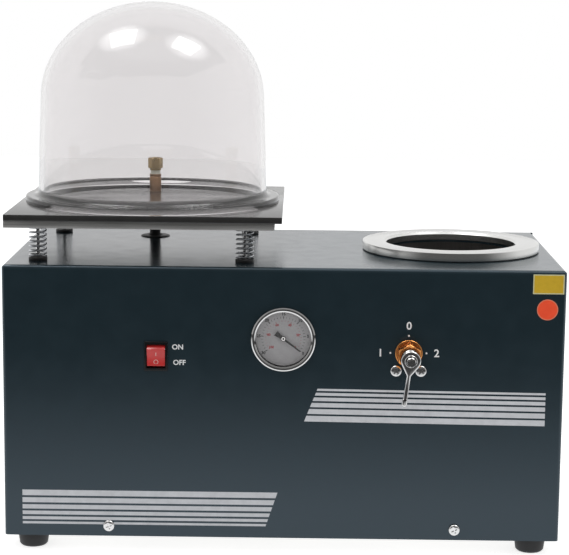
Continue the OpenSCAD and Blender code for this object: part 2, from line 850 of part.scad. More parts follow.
module lever_nut() in_frame() color([0.8, 0.8, 0.8]) {
    at_valve(front_y - lever_from - lever_t) forwards() rotate([0, 0, lever_nut_turn]) difference() {
        union() {
            cylinder(r = washer_r, h = washer_t);
            translate([0, 0, washer_t]) hex_prism(lever_nut_flats, lever_nut_t);
        }
        translate([0, 0, -cut]) cylinder(r = stem_r + stem_play, h = 10);
    }
}

module valve_bracket() in_frame() color([0.6, 0.6, 0.62]) {
    difference() {
        union() {
            translate([valve_x - 22, front_y + sheet_t, valve_z - 28]) cube([44, bracket_t, 50]);
            translate([valve_x - 22, front_y + sheet_t, valve_z - valve_half - 2])
                cube([44, valve_len, 2 - held]);
        }
        at_valve(front_y) forwards() through_hole(neck_r + held);
        at_bracket_screws() through_hole(m4_hole_r);
    }
}

// ---- Vacuum gauge ----

bezel_t = 8;
case_depth = 32;
case_t = 1.2;
bezel_seat = 1.2;
lip_r = 28;
lens_r = 29.3;
dial_y = front_y + 1.5;
dial_t = 0.8;
lens_out = 5.6;
lens_y = front_y - lens_out;
lens_t = 1.8;
spindle_r = 1.2;
spindle_len = 12;
pointer_y = front_y - 1.2;
pointer_t = 0.8;
needle_len = 21;
needle_turn = 37;
gauge_back_y = front_y + case_depth;

module at_gauge(y) {
    translate([0, y, gauge_z]) children();
}

module gauge_case() in_frame() color([0.1, 0.1, 0.1]) {
    at_gauge(front_y) difference() {
        union() {
            translate([0, case_depth, 0]) forwards() cylinder(r = gauge_case_r, h = case_depth);
            forwards() cylinder(r = gauge_r - 0.2, h = bezel_seat);
        }
        translate([0, case_depth - case_t, 0]) forwards()
            cylinder(r = gauge_case_r - case_t, h = case_depth + 5);
        backwards() cylinder(r = 5 + held, h = case_depth + 5);
    }
}

// The bezel is a ring with a groove round its face, between the outer rim and the lip over the lens.
module gauge_bezel() in_frame() color([0.8, 0.8, 0.8]) {
    crest = bezel_t - 0.4;
    groove = crest - 1.6;
    seat_r = lens_r + held;
    seat = lens_out + 0.05;
    lip = [[lip_r, crest - 1], [lip_r + 0.6, crest - 0.2], [lip_r + 1.4, crest - 0.2]];
    channel = [[lip_r + 2, groove], [lip_r + 2.8, groove]];
    rim = [[gauge_r - 1.1, crest], [gauge_r - 0.4, crest], [gauge_r, crest - 0.6]];
    inside = [[gauge_r, bezel_seat], [seat_r, bezel_seat], [seat_r, seat], [lip_r, seat]];
    at_gauge(front_y) forwards() rotate_extrude($fn = 96) polygon(concat(lip, channel, rim, inside));
}

module gauge_lens() in_frame() color([0.9, 0.92, 0.94, 0.3]) {
    at_gauge(lens_y + lens_t) forwards() cylinder(r = lens_r, h = lens_t);
}

module gauge_dial() in_frame() color([0.62, 0.61, 0.62]) {
    spacer_t = 3;
    at_gauge(dial_y + dial_t) forwards() tube(lip_r, spindle_r + running, dial_t);
    at_gauge(dial_y + dial_t + spacer_t) forwards() tube(lip_r, lip_r - 2, spacer_t);
}

// The needle narrows towards its tip. Its tail widens behind the hub, and the spindle carries both.
module gauge_pointer() in_frame() color([0.04, 0.04, 0.04]) {
    hub_r = 2.6;
    root_r = 1.1;
    tip_r = 0.6;
    tail = [-9.5, 2.95];
    at_gauge(pointer_y) forwards() {
        cylinder(r = hub_r, h = pointer_t);
        rotate([0, 0, -needle_turn]) linear_extrude(pointer_t) polygon([
            [0, root_r], tail, [tail[0], -tail[1]], [0, -root_r], [needle_len, -tip_r], [needle_len, tip_r]
        ]);
    }
    at_gauge(pointer_y - pointer_t) backwards() cylinder(r = spindle_r, h = spindle_len);
}

gauge_stem_len = 10;

module gauge_movement() in_frame() color([0.72, 0.56, 0.28]) {
    tube_y = front_y + 14;
    at_gauge(tube_y) rotate([90, 120, 0]) rotate_extrude(angle = 260) translate([20, 0]) square([3, 7]);
    difference() {
        union() {
            at_gauge(gauge_back_y - case_t) translate([-6, -12, -26]) cube([12, 12, 32]);
            at_gauge(gauge_back_y - case_t - cut) backwards() cylinder(r = 5, h = gauge_stem_len + cut);
            at_gauge(tube_y - 5) translate([-7, -1, -9]) cube([14, 12, 18]);
            at_gauge(gauge_back_y - 14) translate([-3, -14, -24]) cube([6, 16, 5]);
        }
        at_gauge(tube_y - 8) backwards() cylinder(r = spindle_r + running, h = 10);
        at_gauge(gauge_back_y - 9) backwards() cylinder(r = 1.5, h = 30);
    }
    at_gauge(gauge_back_y - case_t + gauge_stem_len) backwards() barb(bore_r = 1.5);
}

module gauge_clamp() in_frame() color([0.6, 0.6, 0.62]) {
    leg = gauge_back_y - front_y - sheet_t;
    at_gauge(front_y + sheet_t) {
        difference() {
            union() {
                for (s = [-1, 1]) {
                    translate([s * 33.5 - 1, 0, -7]) cube([2, leg + 2, 14]);
                }
                translate([-34.5, leg + held, -7]) cube([69, 2 - held, 14]);
            }
            translate([0, leg, 0]) backwards() through_hole(5 + held);
        }
    }
    at_gauge(gauge_back_y + 2) backwards() hex_nut(13, 5 + held, 4);
}

// ---- Switch ----

switch_rim = [23.6, 30];
switch_rim_t = 2;
switch_depth = 24;
switch_well_d = 13;
terminal_w = 6.2;
terminal_t = 0.8;
rocker_w = 18.3;
rocker_well = [18.9, 24];
pivot_in = 5;
rocker_tip = [7.8, 8.7];
rocker_dip = 6.6;
rocker_r = norm(rocker_tip);
rocker_tilt = 10;
pin_r = 1.5;
pin_len = 19.8;

module at_switch(y) {
    translate([-switch_x, y, switch_z]) children();
}

module switch_housing() in_frame() color([0.05, 0.05, 0.05]) {
    body = switch_cut - [0.2, 0.2];
    difference() {
        union() {
            at_switch(front_y) translate([-switch_rim[0] / 2, -switch_rim_t, -switch_rim[1] / 2])
                cube([switch_rim[0], switch_rim_t, switch_rim[1]]);
            at_switch(front_y) translate([-body[0] / 2, -1, -body[1] / 2])
                cube([body[0], switch_depth + 1, body[1]]);
        }
        at_switch(front_y) translate([-rocker_well[0] / 2, -3, -rocker_well[1] / 2])
            cube([rocker_well[0], 3 + switch_well_d, rocker_well[1]]);
        at_switch(front_y + pivot_in) translate([-10, 0, 0]) rightwards()
            cylinder(r = pin_r + running, h = 20);
    }
    for (z = [-terminal_dz, 0, terminal_dz]) {
        at_switch(front_y + switch_depth - 1) translate([-terminal_w / 2, 0, z - terminal_t / 2])
            cube([terminal_w, switch_back_y - front_y - switch_depth + 1, terminal_t]);
    }
}

// The rocker's side view: two shallow faces that meet in the middle, with round ends about its pivot.
module rocker_2d() {
    a = atan(rocker_tip[1] / rocker_tip[0]);
    arc = [for (k = [0 : 6]) let (t = a + (86 - a) * k / 6) rocker_r * [cos(t), sin(t)]];
    n = len(arc);
    polygon(concat(
        [[rocker_dip, 0]], arc, [[-3, rocker_r - 1], [-3, 1 - rocker_r]],
        [for (k = [1 : n]) [arc[n - k][0], -arc[n - k][1]]]
    ));
}

module switch_rocker() in_frame() color([0.75, 0.1, 0.1]) {
    at_switch(front_y + pivot_in) rotate([rocker_tilt, 0, 0]) {
        translate([-rocker_w / 2, 0, 0]) backwards() rightwards() linear_extrude(rocker_w) rocker_2d();
        translate([-pin_len / 2, 0, 0]) rightwards() cylinder(r = pin_r, h = pin_len);
    }
}

// ---- Vacuum pump ----

pump_y = 10;
pump_z = base_z + 98;
motor_r = 56;
motor_t = 3;
motor_x0 = -236;
motor_x1 = -100;
terminal_box_y = pump_y - motor_r - 12;
capacitor_r = 17;
capacitor_z = pump_z + motor_r + 21;
base_plate_z = base_z + 17;
base_plate_t = 4;
base_top_z = base_plate_z + base_plate_t;
mount_bolt_r = 3;
mount_x = [-230, -20];
mount_y = [-55, 75];
oil_case_w = 88;
oil_case_d = 104;
oil_case_h = 140;
oil_wall = 4;
shaft_r = 5;
bearing_r = 11;
block_x0 = motor_x1 + oil_wall;
block_x1 = block_x0 + 64;
rotor_r = 22;
bore_r = 26;
bore_up = bore_r - rotor_r - free;
block_end_t = 8;
block_bore_len = 50;
port_x = block_x0 + block_end_t + block_bore_len / 2;

module at_mounts() {
    for (x = mount_x, y = mount_y) {
        translate([x, y, 0]) children();
    }
}

module at_pump(x) {
    translate([x, pump_y, pump_z]) rightwards() children();
}

module pump_base() in_frame() color([0.3, 0.31, 0.33]) {
    difference() {
        translate([-245, -65, base_plate_z]) cube([240, 150, base_plate_t]);
        translate([0, 0, base_plate_z]) at_mounts() through_hole(mount_bolt_r + held);
    }
}

module pump_mounts() in_frame() color([0.1, 0.1, 0.1]) {
    at_mounts() translate([0, 0, base_z + sheet_t]) cylinder(r = 10, h = base_plate_z - base_z - sheet_t);
    at_mounts() translate([0, 0, base_z]) cylinder(r = mount_bolt_r, h = sheet_t + 1);
    at_mounts() translate([0, 0, base_plate_z - 1]) cylinder(r = mount_bolt_r, h = base_plate_t + 8);
}

module motor_housing() in_frame() color([0.25, 0.28, 0.32]) {
    difference() {
        union() {
            at_pump(motor_x0) cylinder(r = motor_r, h = motor_x1 - motor_x0);
            for (x = [motor_x0 + 20, motor_x1 - 40]) {
                translate([x, pump_y - 35, base_top_z]) cube([20, 70, 40]);
            }
            translate([-190, terminal_box_y, pump_z - 16]) cube([40, 40, 32]);
            translate([-200, pump_y - 12, pump_z + motor_r - 6]) cube([50, 24, 14]);
        }
        at_pump(motor_x0 - cut) cylinder(r = motor_r - motor_t, h = motor_x1 - motor_x0 + 2 * cut);
        translate([-210, pump_y, capacitor_z]) rightwards() cylinder(r = capacitor_r + held, h = 70);
    }
}

module start_capacitor() in_frame() color([0.75, 0.76, 0.78]) {
    translate([-205, pump_y, capacitor_z]) rightwards() cylinder(r = capacitor_r, h = 60);
}

module motor_stator() in_frame() color([0.6, 0.35, 0.18]) {
    at_pump(-215) tube(motor_r - motor_t - held, 31, 90);
    for (x = [-225, -126]) {
        at_pump(x) tube(50, 33, 11);
    }
}

module motor_end_cap() in_frame() color([0.5, 0.51, 0.53]) {
    difference() {
        union() {
            at_pump(motor_x0 - 4) cylinder(r = motor_r, h = 4);
            at_pump(motor_x0) cylinder(r = 16, h = 7);
        }
        at_pump(motor_x0 - 1) cylinder(r = bearing_r, h = 20);
        at_pump(motor_x0 - 6) cylinder(r = shaft_r + free, h = 20);
    }
}

module motor_bearings() in_frame() color("silver") {
    at_pump(motor_x0 - 1) tube(bearing_r, shaft_r + running, 7);
    at_pump(block_x0) tube(bearing_r, shaft_r + running, 7);
}

module motor_rotor() in_frame() color([0.7, 0.7, 0.72]) {
    at_pump(motor_x0 - 24) cylinder(r = shaft_r, h = block_x1 - motor_x0 + 14);
    at_pump(-212) cylinder(r = 30.4, h = 84);
}

module motor_fan() in_frame() color([0.15, 0.15, 0.16]) {
    fan_x = motor_x0 - 20;
    at_pump(fan_x) {
        tube(12, shaft_r, 12);
        tube(48, shaft_r, 1.5);
        for (k = [0 : 7]) {
            rotate([0, 0, 45 * k]) translate([11, -0.75, 0]) cube([35, 1.5, 12]);
        }
    }
}

// The two vanes are drawn pushed back into their slots.
vane_t = 3;
slot_from = 8;

module vane_rotor() in_frame() color([0.55, 0.55, 0.57]) {
    rotor_len = block_bore_len - 2 * free;
    at_pump(block_x0 + block_end_t + free) {
        difference() {
            cylinder(r = rotor_r, h = rotor_len);
            translate([0, 0, -cut]) cylinder(r = shaft_r, h = rotor_len + 2 * cut);
            for (s = [0, 180]) {
                rotate([0, 0, s]) translate([slot_from, -vane_t / 2, -cut])
                    cube([rotor_r, vane_t, rotor_len + 2 * cut]);
            }
        }
        for (s = [0, 180]) {
            rotate([0, 0, s]) translate([slot_from + held, held - vane_t / 2, 0])
                cube([rotor_r - slot_from - 2 * held, vane_t - 2 * held, rotor_len]);
        }
    }
}

module pump_block() in_frame() color([0.35, 0.36, 0.38]) {
    block_top = pump_z + 40;
    difference() {
        union() {
            translate([block_x0, pump_y - 38, block_top - 76]) cube([block_x1 - block_x0, 76, 76]);
            translate([port_x, pump_y, block_top - cut])
                cylinder(r = 8, h = tee_z - oil_wall - block_top + cut);
        }
        translate([0, 0, bore_up]) at_pump(block_x0 + block_end_t) cylinder(r = bore_r, h = block_bore_len);
        at_pump(block_x0 - cut) cylinder(r = bearing_r, h = 7 + cut);
        at_pump(block_x0) cylinder(r = shaft_r + running, h = block_x1 - block_x0 - 2);
        translate([port_x, pump_y, pump_z + 20]) cylinder(r = 3, h = tee_z - pump_z);
    }
}

tee_z = base_top_z + oil_case_h;

module oil_case() in_frame() color([0.25, 0.28, 0.32]) {
    x0 = motor_x1;
    y0 = pump_y - oil_case_d / 2;
    difference() {
        union() {
            translate([x0, y0, base_top_z]) cube([oil_case_w, oil_case_d, oil_case_h]);
            translate([x0 + 20, pump_y + 32, tee_z]) cylinder(r = 12, h = 10);
        }
        translate([x0 + oil_wall, y0 + oil_wall, base_top_z + oil_wall])
            cube([oil_case_w - 2 * oil_wall, oil_case_d - 2 * oil_wall, oil_case_h - 2 * oil_wall]);
        at_pump(x0 - cut) cylinder(r = bearing_r, h = 10);
        translate([port_x, pump_y, tee_z]) through_hole(barb_r + held);
    }
}

// A tee on the pump's suction port: one arm to the valve, one to the gauge.
tee_x = port_x;
tee_axis_z = tee_z + 12;
tee_arm = 12;

module pump_tee() in_frame() color([0.72, 0.56, 0.28]) {
    difference() {
        union() {
            translate([tee_x, pump_y, tee_z - oil_wall]) cylinder(r = barb_r, h = oil_wall + 1);
            translate([tee_x, pump_y, tee_z]) cylinder(r = 7, h = 19);
            translate([tee_x - tee_arm, pump_y, tee_axis_z]) rightwards() cylinder(r = 6, h = 2 * tee_arm);
        }
        translate([tee_x, pump_y, tee_z - 5]) cylinder(r = barb_bore_r, h = 17);
        translate([tee_x - 13, pump_y, tee_axis_z]) rightwards() cylinder(r = barb_bore_r, h = 26);
    }
    for (s = [-1, 1]) {
        translate([tee_x + s * tee_arm, pump_y, tee_axis_z]) rotate([0, s * 90, 0]) barb();
    }
}

// Valve to chamber, valve to tee, and tee to gauge.
module vacuum_hoses() in_frame() color([0.06, 0.06, 0.06]) {
    gauge_end_y = gauge_back_y - case_t + gauge_stem_len;
    hose(concat(
        off_barb([valve_x + valve_half + barb_hex_t, valve_mid_y, valve_z], [1, 0, 0]),
        [[184, -120, 205], [189, -121, 188], [189, -123, 168], [183, -122, 152], [178, -115, 144]],
        onto_barb([chamber_x, -canister_r - barb_hex_t, chamber_barb_z], [0, -1, 0])
    ));
    hose(concat(
        off_barb([valve_x - elbow_arm, elbow_y, valve_z], [-1, 0, 0]),
        [[62, -76, 212], [30, -46, 208], [2, -8, 198], [-14, 7, 191]],
        onto_barb([tee_x + tee_arm, pump_y, tee_axis_z], [1, 0, 0])
    ));
    hose(concat(
        off_barb([tee_x - tee_arm, pump_y, tee_axis_z], [-1, 0, 0]),
        [[-114, 6, 192], [-123, -12, 197], [-112, -34, 206], [-82, -50, 216]],
        [[-46, -57, 223], [-16, -60, 225]],
        onto_barb([0, gauge_end_y, gauge_z], [0, 1, 0])
    ));
}

// ---- Electrical ----

cable_r = 3;
cable_sides = 8;
switch_back_y = front_y + 32;
terminal_dz = 7;

// Mains from the inlet to the switch, and from the switch to the motor's terminal box.
module wiring() in_frame() color([0.1, 0.1, 0.1]) {
    switch_top = [-switch_x, switch_back_y, switch_z + terminal_dz];
    switch_low = [-switch_x, switch_back_y, switch_z - terminal_dz];
    mains = concat(
        [[inlet_x, back_y - inlet_depth, inlet_z], [inlet_x, 102, 79], [-206, 88, 100], [-220, 76, 150]],
        [[-226, 56, 196], [-220, 10, 212], [-196, -42, 213], [-160, -70, 213], [-136, -82, 212]],
        [switch_top + [0, 14, 0], switch_top]
    );
    motor_lead = concat(
        [switch_low, switch_low + [0, 11, 0], [-131, -88, 186], [-148, -82, 160], [-162, -78, 134]],
        [[-169, -72, 118], [-170, terminal_box_y - 6, pump_z], [-170, terminal_box_y, pump_z]]
    );
    for (route = [mains, motor_lead]) {
        sweep(smooth(route, 2), cable_r, cable_sides);
    }
}

inlet_rim = [40, 30];
inlet_depth = 24;
inlet_well = [24, 16.5];

module power_inlet() in_frame() color([0.06, 0.06, 0.06]) {
    body = inlet_cut - [0.2, 0.2];
    translate([inlet_x, back_y, inlet_z]) difference() {
        union() {
            translate([-inlet_rim[0] / 2, 0, -inlet_rim[1] / 2]) cube([inlet_rim[0], 2.5, inlet_rim[1]]);
            translate([-body[0] / 2, -inlet_depth, -body[1] / 2]) cube([body[0], inlet_depth + 1, body[1]]);
        }
        translate([-inlet_well[0] / 2, -16, -inlet_well[1] / 2]) cube([inlet_well[0], 20, inlet_well[1]]);
    }
    for (pin = [[-7, -2], [7, -2], [0, 2]]) {
        translate([inlet_x + pin[0] - 1, back_y - 17, inlet_z + pin[1] - 2]) cube([2, 14, 4]);
    }
}

base_pan();
cover_shell();
rear_panel();
rubber_feet();
case_screws();
table_plate();
table_mat();
spring(-1, -1);  // spring_front_left
spring(1, -1);  // spring_front_right
spring(-1, 1);  // spring_back_left
spring(1, 1);  // spring_back_right
spring_studs();
stud_nuts();
spring_seats();
nozzle_pipe();
nozzle_head();
nozzle_tape();
hose_grommet();
table_hose();
bell_jar();
chamber_flange();
chamber_gasket();
chamber_canister();
flange_studs();
flange_nuts();
hose_barbs();
valve_body();
valve_plug();
valve_cap();
valve_vent();
panel_nut();
gland_nut();
valve_lever();
lever_nut();
valve_bracket();
gauge_case();
gauge_bezel();
gauge_lens();
gauge_dial();
gauge_pointer();
gauge_movement();
gauge_clamp();
switch_housing();
switch_rocker();
pump_base();
pump_mounts();
motor_housing();
motor_stator();
motor_end_cap();
motor_bearings();
motor_rotor();
motor_fan();
vane_rotor();
pump_block();
oil_case();
start_capacitor();
pump_tee();
vacuum_hoses();
wiring();
power_inlet();
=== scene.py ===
import json
import math

import bmesh
import bpy
from mathutils import Matrix, Vector


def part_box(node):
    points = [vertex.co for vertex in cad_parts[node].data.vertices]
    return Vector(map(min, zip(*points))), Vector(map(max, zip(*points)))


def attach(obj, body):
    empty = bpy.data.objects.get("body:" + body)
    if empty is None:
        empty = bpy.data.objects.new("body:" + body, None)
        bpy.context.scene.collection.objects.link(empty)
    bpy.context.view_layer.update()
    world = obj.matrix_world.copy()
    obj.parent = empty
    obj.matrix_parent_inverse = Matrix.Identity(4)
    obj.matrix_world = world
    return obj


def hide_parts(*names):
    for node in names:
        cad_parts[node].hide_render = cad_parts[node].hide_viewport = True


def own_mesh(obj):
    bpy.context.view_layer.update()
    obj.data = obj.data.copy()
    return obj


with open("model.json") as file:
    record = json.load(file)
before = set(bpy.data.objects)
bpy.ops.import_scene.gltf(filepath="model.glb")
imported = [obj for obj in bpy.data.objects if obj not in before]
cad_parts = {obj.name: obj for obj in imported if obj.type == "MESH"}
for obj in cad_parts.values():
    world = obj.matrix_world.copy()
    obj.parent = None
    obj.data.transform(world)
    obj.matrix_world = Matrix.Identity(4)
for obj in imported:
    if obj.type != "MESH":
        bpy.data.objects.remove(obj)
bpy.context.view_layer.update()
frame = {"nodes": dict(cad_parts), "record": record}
print("frame loaded:", len(frame["nodes"]), "nodes")

# ---- Camera, lamps and floor ----

cameraSettings = {
    "place": (0.0136, -1.9159, 0.5808),
    "yaw": 0.417,       # degrees towards the left
    "pitch": 9.291,     # degrees down
    "roll": 0.604,
    "lens": 115.66,
}


def setCamera(s):
    data = bpy.data.cameras.new("camera")
    data.sensor_width = 36
    data.lens = s["lens"]
    camera = bpy.data.objects.new("camera", data)
    bpy.context.scene.collection.objects.link(camera)
    turn = Matrix.Rotation(math.radians(s["yaw"]), 4, "Z")
    turn = turn @ Matrix.Rotation(math.radians(90 - s["pitch"]), 4, "X")
    turn = turn @ Matrix.Rotation(math.radians(s["roll"]), 4, "Z")
    camera.matrix_world = Matrix.Translation(s["place"]) @ turn
    bpy.context.scene.camera = camera


setCamera(cameraSettings)
bpy.context.scene.view_settings.view_transform = "Standard"


# Adds a shader node. An input is a constant or the socket that feeds it.
def add(tree, kind, inputs=None, **settings):
    node = tree.nodes.new("ShaderNode" + kind)
    for key, value in settings.items():
        setattr(node, key, value)
    for key, value in (inputs or {}).items():
        if isinstance(value, bpy.types.NodeSocket):
            tree.links.new(value, node.inputs[key])
        else:
            node.inputs[key].default_value = value
    return node


def mathNode(tree, operation, first, second):
    return add(tree, "Math", {0: first, 1: second}, operation=operation).outputs[0]


# Blends two values by a factor. The Mix node keeps its sockets for colours after those for values.
def blendValues(tree, factor, first, second):
    return add(tree, "Mix", {"Factor": factor, 2: first, 3: second}, data_type="FLOAT").outputs[0]


def blendColours(tree, factor, first, second):
    return add(tree, "Mix", {"Factor": factor, 6: first, 7: second}, data_type="RGBA").outputs[2]


def rescale(tree, value, fromLow, fromHigh, toLow, toHigh):
    inputs = {"Value": value, "From Min": fromLow, "From Max": fromHigh, "To Min": toLow, "To Max": toHigh}
    return add(tree, "MapRange", inputs).outputs[0]


worldSettings = {
    "fill": 0.7,           # how brightly the room lights plain surfaces
    "frontGloss": 0.12,    # what gloss sees towards the front of the room
    "backGloss": 1.0,      # and towards the back and overhead
    "fadeFrom": -0.75,
    "fadeTo": 0.05,
    "overheadFrom": 0.77,
    "overheadTo": 0.95,
    "glows": ((-0.358, 0.054, 0.932), (0.448, -0.053, 0.892)),
    "glowWide": 20.0,      # degrees from a glow's middle to where it ends
    "glowCore": 1.0,
    "glowStrength": 5.5,
}


# The backdrop is white. Gloss sees the white paper behind the machine, a darker room in front and two
# soft lights overhead.
def setWorld(s):
    world = bpy.data.worlds.new("studio")
    bpy.context.scene.world = world
    world.use_nodes = True
    tree = world.node_tree
    tree.nodes.clear()
    path = add(tree, "LightPath")
    way = add(tree, "TexCoord").outputs["Generated"]
    heading = add(tree, "SeparateXYZ", {"Vector": way})
    overhead = rescale(tree, heading.outputs["Z"], s["overheadFrom"], s["overheadTo"], 0, 0.8)
    facing = mathNode(tree, "ADD", heading.outputs["Y"], overhead)
    gloss = rescale(tree, facing, s["fadeFrom"], s["fadeTo"], s["frontGloss"], s["backGloss"])
    outer, core = (math.cos(math.radians(s[key])) for key in ("glowWide", "glowCore"))
    for direction in s["glows"]:
        inputs = {0: way, 1: direction}
        near = add(tree, "VectorMath", inputs, operation="DOT_PRODUCT").outputs["Value"]
        inputs = {"Value": near, "From Min": outer, "From Max": core, "To Min": 0.0, "To Max": s["glowStrength"]}
        glow = add(tree, "MapRange", inputs, interpolation_type="SMOOTHSTEP").outputs[0]
        gloss = mathNode(tree, "ADD", gloss, glow)
    direct = mathNode(tree, "MAXIMUM", path.outputs["Is Camera Ray"], path.outputs["Is Transmission Ray"])
    strength = blendValues(tree, path.outputs["Is Glossy Ray"], s["fill"], gloss)
    strength = blendValues(tree, direct, strength, 1.0)
    background = add(tree, "Background", {"Color": (1, 1, 1, 1), "Strength": strength})
    output = add(tree, "OutputWorld")
    tree.links.new(background.outputs[0], output.inputs["Surface"])


setWorld(worldSettings)

lampSettings = [
    {"name": "soft_box_left", "place": (-0.70, 0.10, 1.95), "size": (0.62, 0.5), "power": 6.5},
    {"name": "soft_box_right", "place": (0.52, -0.06, 1.88), "size": (0.55, 0.5), "power": 6.5},
]
lampTarget = (-0.14, 0.02, 0.45)


def addLamp(s, target):
    data = bpy.data.lights.new(s["name"], "AREA")
    data.shape = "RECTANGLE"
    data.size, data.size_y = s["size"]
    data.energy = s["power"]
    lamp = bpy.data.objects.new(s["name"], data)
    lamp.visible_glossy = False
    bpy.context.scene.collection.objects.link(lamp)
    away = Vector(s["place"]) - Vector(target)
    lamp.matrix_world = Matrix.Translation(s["place"]) @ away.to_track_quat("Z", "Y").to_matrix().to_4x4()


for lampSetting in lampSettings:
    addLamp(lampSetting, lampTarget)

floorSettings = {
    "side": 8.0,
    "colour": (0.84, 0.84, 0.835, 1),
    "lift": 0.7,           # makes the open floor white to the eye and keeps the shadows
    "glassLift": 0.34,     # the same for what shows through glass, level with the backdrop
    "paperFrom": -0.30,    # in front of here gloss sees the paper fade
    "paperTo": -1.00,
    "farGloss": 0.05,
    "mirrored": (0.96, 0.98, 1.0, 1),
}


def makeFloor(s):
    bm = bmesh.new()
    bmesh.ops.create_grid(bm, x_segments=2, y_segments=2, size=s["side"] / 2)
    mesh = bpy.data.meshes.new("floor")
    bm.to_mesh(mesh)
    bm.free()
    floor = bpy.data.objects.new("floor", mesh)
    bpy.context.scene.collection.objects.link(floor)
    material = bpy.data.materials.new("white_paper")
    material.use_nodes = True
    tree = material.node_tree
    tree.nodes.clear()
    coords = add(tree, "TexCoord").outputs["Object"]
    mottle = add(tree, "TexNoise", {"Vector": coords, "Scale": 9.0}).outputs["Fac"]
    paper = blendColours(tree, mottle, s["colour"], tuple(0.985 * c for c in s["colour"][:3]) + (1,))
    diffuse = add(tree, "BsdfDiffuse", {"Color": paper})
    path = add(tree, "LightPath")
    lift = blendValues(tree, path.outputs["Is Transmission Ray"], s["lift"], s["glassLift"])
    glow = add(tree, "Emission", {"Color": (1, 1, 1, 1), "Strength": lift})
    lit = add(tree, "AddShader", {0: diffuse.outputs[0], 1: glow.outputs[0]})
    depth = add(tree, "SeparateXYZ", {"Vector": coords}).outputs["Y"]
    seen = rescale(tree, depth, s["paperTo"], s["paperFrom"], s["farGloss"], 1.0)
    mirrored = add(tree, "Emission", {"Color": s["mirrored"], "Strength": seen})
    direct = mathNode(tree, "MAXIMUM", path.outputs["Is Camera Ray"], path.outputs["Is Transmission Ray"])
    reflected = {0: path.outputs["Is Glossy Ray"], 1: diffuse.outputs[0], 2: mirrored.outputs[0]}
    indirect = add(tree, "MixShader", reflected)
    mixed = add(tree, "MixShader", {0: direct, 1: indirect.outputs[0], 2: lit.outputs[0]})
    output = add(tree, "OutputMaterial")
    tree.links.new(mixed.outputs[0], output.inputs["Surface"])
    mesh.materials.append(material)


makeFloor(floorSettings)
print("camera, lamps and floor set")

# ---- Effects that several finishes share ----


def newGroup(name, inputs, outputs):
    group = bpy.data.node_groups.new(name, "ShaderNodeTree")
    for socketName, kind, value in inputs:
        socket = group.interface.new_socket(socketName, in_out="INPUT", socket_type="NodeSocket" + kind)
        if value is not None:
            socket.default_value = value
    for socketName in outputs:
        group.interface.new_socket(socketName, in_out="OUTPUT", socket_type="NodeSocketFloat")
    return group, group.nodes.new("NodeGroupInput").outputs, group.nodes.new("NodeGroupOutput").inputs


# Fine grain of a moulded, painted or cast surface, with a broader swell under it.
def makeGrainGroup():
    group, given, out = newGroup(
        "fineGrain",
        [("Vector", "Vector", None), ("Scale", "Float", 800.0), ("Swell", "Float", 0.3)],
        ["Height", "Blotch"],
    )
    fine = add(group, "TexNoise", {"Vector": given["Vector"], "Scale": given["Scale"], "Detail": 3.0})
    broadScale = mathNode(group, "MULTIPLY", given["Scale"], 0.06)
    broad = add(group, "TexNoise", {"Vector": given["Vector"], "Scale": broadScale, "Detail": 2.0})
    height = blendValues(group, given["Swell"], fine.outputs["Fac"], broad.outputs["Fac"])
    group.links.new(height, out["Height"])
    group.links.new(broad.outputs["Fac"], out["Blotch"])
    return group


# Where a corner is sharp: patches of it are painted lighter, as rubbed-bare wear and as a painted highlight where the
# corner catches more light.
def makeWearGroup():
    group, given, out = newGroup(
        "edgeWearAndHighlight",
        [("Vector", "Vector", None), ("Radius", "Float", 0.0008), ("Patch Scale", "Float", 60.0)],
        ["Mask"],
    )
    rounded = add(group, "Bevel", {"Radius": given["Radius"]}, samples=4)
    plain = add(group, "NewGeometry")
    dot = add(
        group, "VectorMath", {0: rounded.outputs[0], 1: plain.outputs["Normal"]}, operation="DOT_PRODUCT"
    )
    sharp = rescale(group, dot.outputs["Value"], 0.995, 0.86, 0.0, 1.0)
    patches = add(group, "TexNoise", {"Vector": given["Vector"], "Scale": given["Patch Scale"], "Detail": 3.0})
    kept = rescale(group, patches.outputs["Fac"], 0.42, 0.62, 0.0, 1.0)
    group.links.new(mathNode(group, "MULTIPLY", sharp, kept), out["Mask"])
    return group


# Tool marks of a lathe: rings round the Z axis of the given vector.
def makeRingsGroup():
    group, given, out = newGroup(
        "turnedRings", [("Vector", "Vector", None), ("Scale", "Float", 900.0)], ["Height", "Tone"]
    )
    parts = add(group, "SeparateXYZ", {"Vector": given["Vector"]})
    across = add(group, "CombineXYZ", {"X": parts.outputs["X"], "Y": parts.outputs["Y"], "Z": 0.0})
    radius = add(group, "VectorMath", {0: across.outputs[0]}, operation="LENGTH").outputs["Value"]
    line = add(group, "CombineXYZ", {"X": radius, "Y": 0.0, "Z": parts.outputs["Z"]})
    fine = add(group, "TexNoise", {"Vector": line.outputs[0], "Scale": given["Scale"], "Detail": 2.0})
    broadScale = mathNode(group, "MULTIPLY", given["Scale"], 0.12)
    broad = add(group, "TexNoise", {"Vector": line.outputs[0], "Scale": broadScale, "Detail": 1.0})
    group.links.new(fine.outputs["Fac"], out["Height"])
    group.links.new(broad.outputs["Fac"], out["Tone"])
    return group


# Long straight scratches along X of the given vector.
def makeBrushGroup():
    group, given, out = newGroup(
        "brushedLines",
        [("Vector", "Vector", None), ("Scale", "Float", 12.0), ("Fineness", "Float", 90.0)],
        ["Height", "Tone"],
    )
    stretch = add(group, "CombineXYZ", {"X": 1.0, "Y": given["Fineness"], "Z": given["Fineness"]})
    vector = add(group, "VectorMath", {0: given["Vector"], 1: stretch.outputs[0]}, operation="MULTIPLY")
    lines = add(
        group, "TexNoise", {"Vector": vector.outputs[0], "Scale": given["Scale"], "Detail": 4.0}
    )
    clouds = add(group, "TexNoise", {"Vector": given["Vector"], "Scale": given["Scale"], "Detail": 2.0})
    group.links.new(lines.outputs["Fac"], out["Height"])
    group.links.new(blendValues(group, 0.4, lines.outputs["Fac"], clouds.outputs["Fac"]), out["Tone"])
    return group


